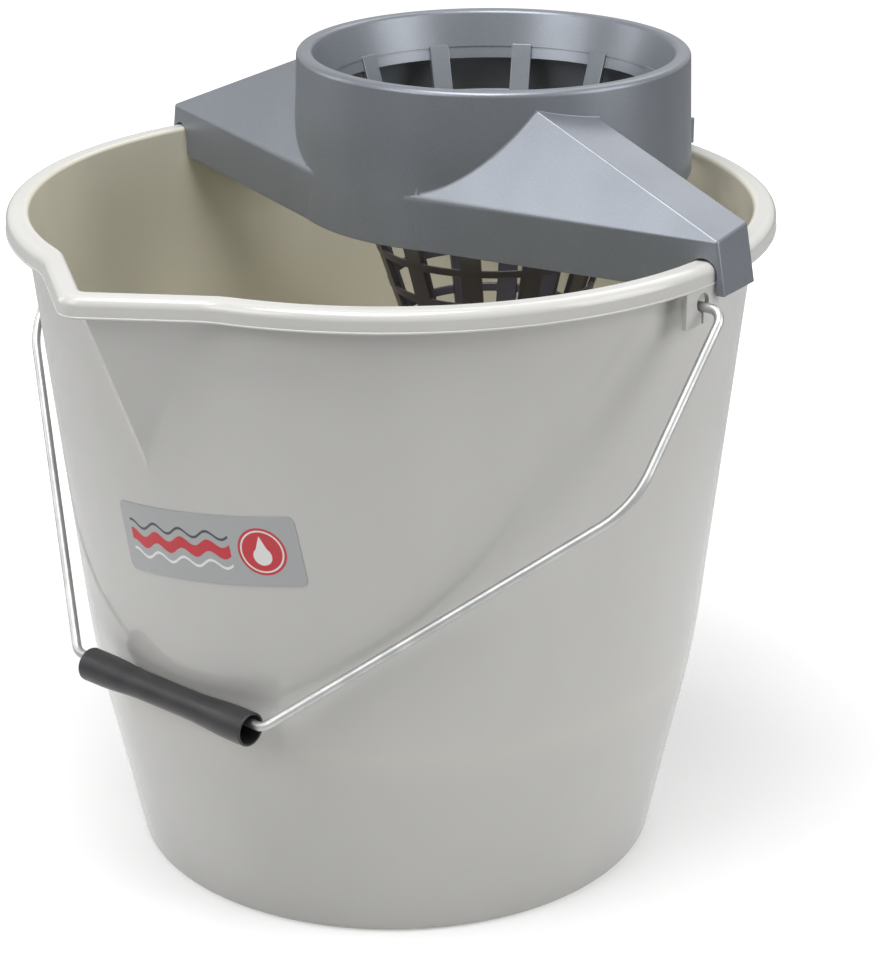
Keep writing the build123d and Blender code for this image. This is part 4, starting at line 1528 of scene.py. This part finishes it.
def turn_tree(name, material):
    """Copies of a shape, turned about an upright axis and welded together."""
    inputs = [("Copies", "NodeSocketInt"), ("Axis", "NodeSocketVector")]
    build, given, output = geometry_tree(name, inputs)
    one = build.add("GeometryNodeGeometryToInstance", {0: given["Geometry"]})
    many = build.add(
        "GeometryNodeDuplicateElements",
        {"Geometry": one.outputs[0], "Amount": given["Copies"]},
        domain="INSTANCE",
    )
    step = build.math("DIVIDE", 2 * pi, given["Copies"])
    swing = build.math("MULTIPLY", many.outputs["Duplicate Index"], step)
    rotation = build.add("ShaderNodeCombineXYZ", {2: swing})
    turned = build.add(
        "GeometryNodeRotateInstances",
        {
            "Instances": many.outputs["Geometry"],
            "Rotation": rotation.outputs[0],
            "Pivot Point": given["Axis"],
            "Local Space": False,
        },
    )
    return finish_tree(build, turned.outputs[0], material, output)


def make_basket(sizes, material):
    """The wringer's basket of bars and hoops."""
    shape = WringerShape(sizes)
    source = add_piece("Stave", stave_mesh(shape), material)
    axis = shape.to_world @ Vector((0, shape.axis_y, 0))
    mesh = run_tree(source, turn_tree("Basket Staves", material), {"Copies": sizes.bars, "Axis": axis})
    piece = add_piece("WringerBasket", outward(mesh), material)
    round_edges(piece, sizes.bar_edge, BASKET_BEVEL_TURN)
    return shade(settle(piece), SHARP_TURN["basket"])


def drain_tree(material):
    """A tapered disc with one hole in its middle and a ring of holes round it."""
    inputs = [
        ("Top Radius", "NodeSocketFloat"),
        ("Foot Radius", "NodeSocketFloat"),
        ("Thickness", "NodeSocketFloat"),
        ("Drain Radius", "NodeSocketFloat"),
        ("Drain Ring", "NodeSocketFloat"),
        ("Drains", "NodeSocketInt"),
    ]
    build, given, output = geometry_tree("Drain Disc", inputs)
    circle = "GeometryNodeCurvePrimitiveCircle"
    edge = build.add(circle, {"Resolution": DISC_SIDES, "Radius": given["Top Radius"]})
    hole = build.add(circle, {"Resolution": DRAIN_SIDES, "Radius": given["Drain Radius"]})
    ring = build.add("GeometryNodeMeshCircle", {"Vertices": given["Drains"], "Radius": given["Drain Ring"]})
    spots = {"Points": ring.outputs[0], "Instance": hole.outputs[0]}
    holes = build.add("GeometryNodeInstanceOnPoints", spots)
    real = build.add("GeometryNodeRealizeInstances", {"Geometry": holes.outputs[0]})
    lines = build.add("GeometryNodeJoinGeometry")
    for part in (edge, hole, real):
        build.tree.links.new(part.outputs[0], lines.inputs[0])
    sheet = build.add("GeometryNodeFillCurve", {"Curve": lines.outputs[0]}, mode="NGONS")
    down = build.add("ShaderNodeCombineXYZ", {2: build.math("MULTIPLY", given["Thickness"], -1.0)})
    thick = build.add(
        "GeometryNodeExtrudeMesh",
        {"Mesh": sheet.outputs[0], "Offset": down.outputs[0], "Offset Scale": 1.0, "Individual": False},
    )
    place_now = build.add("GeometryNodeInputPosition").outputs[0]
    flat = build.add("ShaderNodeVectorMath", {0: place_now, 1: (1.0, 1.0, 0.0)}, operation="MULTIPLY")
    reach = build.add("ShaderNodeVectorMath", {0: flat.outputs[0]}, operation="LENGTH").outputs["Value"]
    rim_share = build.math("DIVIDE", given["Foot Radius"], given["Top Radius"])
    outer = build.math("GREATER_THAN", reach, build.math("MULTIPLY", given["Top Radius"], DISC_EDGE))
    height = build.add("ShaderNodeSeparateXYZ", {0: place_now}).outputs[2]
    deep = build.math("LESS_THAN", height, DISC_UNDER)
    chosen = build.math("MULTIPLY", outer, deep)
    scale = build.add("ShaderNodeCombineXYZ", {0: rim_share, 1: rim_share, 2: 1.0})
    drawn = build.add("ShaderNodeVectorMath", {0: place_now, 1: scale.outputs[0]}, operation="MULTIPLY")
    tapered = build.add(
        "GeometryNodeSetPosition",
        {"Geometry": thick.outputs["Mesh"], "Selection": chosen, "Position": drawn.outputs[0]},
    )
    closed = build.add("GeometryNodeJoinGeometry")
    for part in (sheet, tapered):
        build.tree.links.new(part.outputs[0], closed.inputs[0])
    return finish_tree(build, closed.outputs[0], material, output)


def make_basket_floor(sizes, material):
    """The basket's bottom with its drain holes."""
    shape = WringerShape(sizes)
    source = add_piece("DrainDisc", bpy.data.meshes.new("DrainDisc"), material)
    values = {
        "Top Radius": shape.cone(shape.basket_foot),
        "Foot Radius": shape.cone(shape.floor_foot),
        "Thickness": shape.basket_foot - shape.floor_foot,
        "Drain Radius": sizes.drain_radius,
        "Drain Ring": sizes.drain_ring,
        "Drains": sizes.drains,
    }
    mesh = run_tree(source, drain_tree(material), values)
    mesh.transform(shape.to_world @ Matrix.Translation((0, shape.axis_y, shape.basket_foot)))
    piece = add_piece("BasketFloor", outward(mesh), material)
    round_edges(piece, sizes.bar_edge, BASKET_BEVEL_TURN)
    return shade(settle(piece), SHARP_TURN["basket"])


# Stage

# Each soft lamp's name, place, width and height, and power, and the point that all face
SOFTBOXES = (
    ("Front Softbox", (-0.3, -1.7, 1.35), (1.2, 1.0), 15.0),
    ("Right Softbox", (1.6, 0.55, 0.9), (1.0, 1.4), 16.0),
    ("Left Softbox", (-1.65, -0.75, 0.8), (0.6, 1.2), 6.0),
    ("Rear Softbox", (-0.25, 1.35, 1.7), (1.2, 1.0), 7.0),
    ("Top Softbox", (0.1, -0.45, 2.2), (1.2, 1.2), 42.0),
)
LAMP_TARGET = (0.0, 0.0, 0.22)


def add_softbox(name, spot, size, power):
    """A white soft lamp that faces the middle of the object."""
    lamp = bpy.data.lights.new(name, "AREA")
    lamp.shape = "RECTANGLE"
    lamp.size, lamp.size_y = size
    lamp.energy = power
    holder = bpy.data.objects.new(name, lamp)
    holder.location = spot
    holder.rotation_euler = (Vector(LAMP_TARGET) - Vector(spot)).to_track_quat("-Z", "Y").to_euler()
    bpy.context.scene.collection.objects.link(holder)


def make_stage(sizes, tones):
    """Floor, soft lamps, even light and the camera."""
    scene = bpy.context.scene
    reach = sizes.floor_size
    mesh = bpy.data.meshes.new("Floor")
    corners = [(-reach, -reach, 0), (reach, -reach, 0), (reach, reach, 0), (-reach, reach, 0)]
    mesh.from_pydata(corners, [], [(0, 1, 2, 3)])
    add_piece("Floor", mesh, stage_floor(tones, sizes.floor_glow, sizes.far_glow))
    world = bpy.data.worlds.new("Even Light")
    world.use_nodes = True
    build = Tree(world.node_tree)
    even = world.node_tree.nodes["Background"]
    even.inputs["Strength"].default_value = sizes.world
    plain = build.add("ShaderNodeBackground", {"Color": WHITE})
    rays = build.add("ShaderNodeLightPath").outputs
    mirrored = build.math("MULTIPLY", rays["Is Glossy Ray"], sizes.mirror)
    seen = build.math("MAXIMUM", rays["Is Camera Ray"], mirrored)
    sky = build.add("ShaderNodeMixShader", {0: seen, 1: even.outputs[0], 2: plain.outputs[0]})
    build.feed(world.node_tree.nodes["World Output"].inputs["Surface"], sky.outputs[0])
    scene.world = world
    for box in SOFTBOXES:
        add_softbox(*box)
    camera = bpy.data.cameras.new("Camera")
    camera.lens = sizes.lens
    camera.sensor_width = sizes.sensor
    holder = bpy.data.objects.new("Camera", camera)
    holder.location = sizes.camera
    holder.rotation_euler = Vector(sizes.forward).to_track_quat("-Z", "Y").to_euler()
    scene.collection.objects.link(holder)
    scene.camera = holder
    scene.view_settings.view_transform = "Standard"


# Add-on


class MOPBUCKET_OT_bucket(bpy.types.Operator):
    """Make the bucket's moulding"""

    bl_idname = "mopbucket.bucket"
    bl_label = "Bucket"

    def execute(self, context):
        scene = context.scene
        piece = make_bucket(scene.bucket_sizes, scene.bucket_finishes)
        place(piece, "bucket", "bucket_plastic", "bucket")
        return {"FINISHED"}


class MOPBUCKET_OT_label(bpy.types.Operator):
    """Make the printed film on the bucket's wall"""

    bl_idname = "mopbucket.label"
    bl_label = "Label"

    def execute(self, context):
        scene = context.scene
        piece = make_label(scene.label_sizes, scene.bucket_sizes, scene.bucket_finishes)
        place(piece, "bucket", "label_film", "label")
        return {"FINISHED"}


class MOPBUCKET_OT_bail(bpy.types.Operator):
    """Make the bail's wire"""

    bl_idname = "mopbucket.bail"
    bl_label = "Bail Wire"

    def execute(self, context):
        scene = context.scene
        piece = make_bail(scene.bail_sizes, scene.bucket_finishes)
        place(piece, "bail", "zinc_wire", "bail_wire")
        return {"FINISHED"}


class MOPBUCKET_OT_grip(bpy.types.Operator):
    """Make the loose grip on the bail"""

    bl_idname = "mopbucket.grip"
    bl_label = "Grip"

    def execute(self, context):
        scene = context.scene
        piece = make_grip(scene.bail_sizes, scene.bucket_finishes)
        place(piece, "grip", "grip_plastic", "grip")
        return {"FINISHED"}


class MOPBUCKET_OT_wringer(bpy.types.Operator):
    """Make the wringer's frame, basket and basket floor"""

    bl_idname = "mopbucket.wringer"
    bl_label = "Wringer"

    def execute(self, context):
        scene = context.scene
        sizes, tones = scene.wringer_sizes, scene.bucket_finishes
        material = wringer_plastic(tones)
        place(make_frame(sizes, material), "wringer", "wringer_plastic", "wringer_frame")
        place(make_basket(sizes, material), "wringer", "wringer_plastic", "wringer_basket")
        place(make_basket_floor(sizes, material), "wringer", "wringer_plastic", "basket_floor")
        return {"FINISHED"}


class MOPBUCKET_OT_stage(bpy.types.Operator):
    """Make the floor, the lamps and the camera"""

    bl_idname = "mopbucket.stage"
    bl_label = "Stage"

    def execute(self, context):
        scene = context.scene
        make_stage(scene.stage_sizes, scene.bucket_finishes)
        return {"FINISHED"}


class MOPBUCKET_PT_panel(bpy.types.Panel):
    """Lists the pieces in the sidebar"""

    bl_idname = "MOPBUCKET_PT_panel"
    bl_label = "Mop Bucket"
    bl_space_type = "VIEW_3D"
    bl_region_type = "UI"
    bl_category = "Mop Bucket"

    def draw(self, context):
        for operator in OPERATORS:
            self.layout.operator(operator.bl_idname)


OPERATORS = (
    MOPBUCKET_OT_bucket,
    MOPBUCKET_OT_label,
    MOPBUCKET_OT_bail,
    MOPBUCKET_OT_grip,
    MOPBUCKET_OT_wringer,
    MOPBUCKET_OT_stage,
)
GROUPS = {
    "bucket_sizes": BucketSizes,
    "wringer_sizes": WringerSizes,
    "bail_sizes": BailSizes,
    "label_sizes": LabelSizes,
    "bucket_finishes": Finishes,
    "stage_sizes": StageSizes,
}


def register():
    """Register the classes and hang the sizes on the scene."""
    for group in (*GROUPS.values(), *OPERATORS, MOPBUCKET_PT_panel):
        bpy.utils.register_class(group)
    for name, group in GROUPS.items():
        setattr(bpy.types.Scene, name, PointerProperty(type=group))


def unregister():
    """Take everything off again."""
    for name in GROUPS:
        delattr(bpy.types.Scene, name)
    for group in (MOPBUCKET_PT_panel, *OPERATORS, *GROUPS.values()):
        bpy.utils.unregister_class(group)


def main():
    """Build every piece and the stage."""
    register()
    bpy.ops.mopbucket.bucket()
    bpy.ops.mopbucket.label()
    bpy.ops.mopbucket.bail()
    bpy.ops.mopbucket.grip()
    bpy.ops.mopbucket.wringer()
    bpy.ops.mopbucket.stage()


if __name__ == "__main__":
    main()
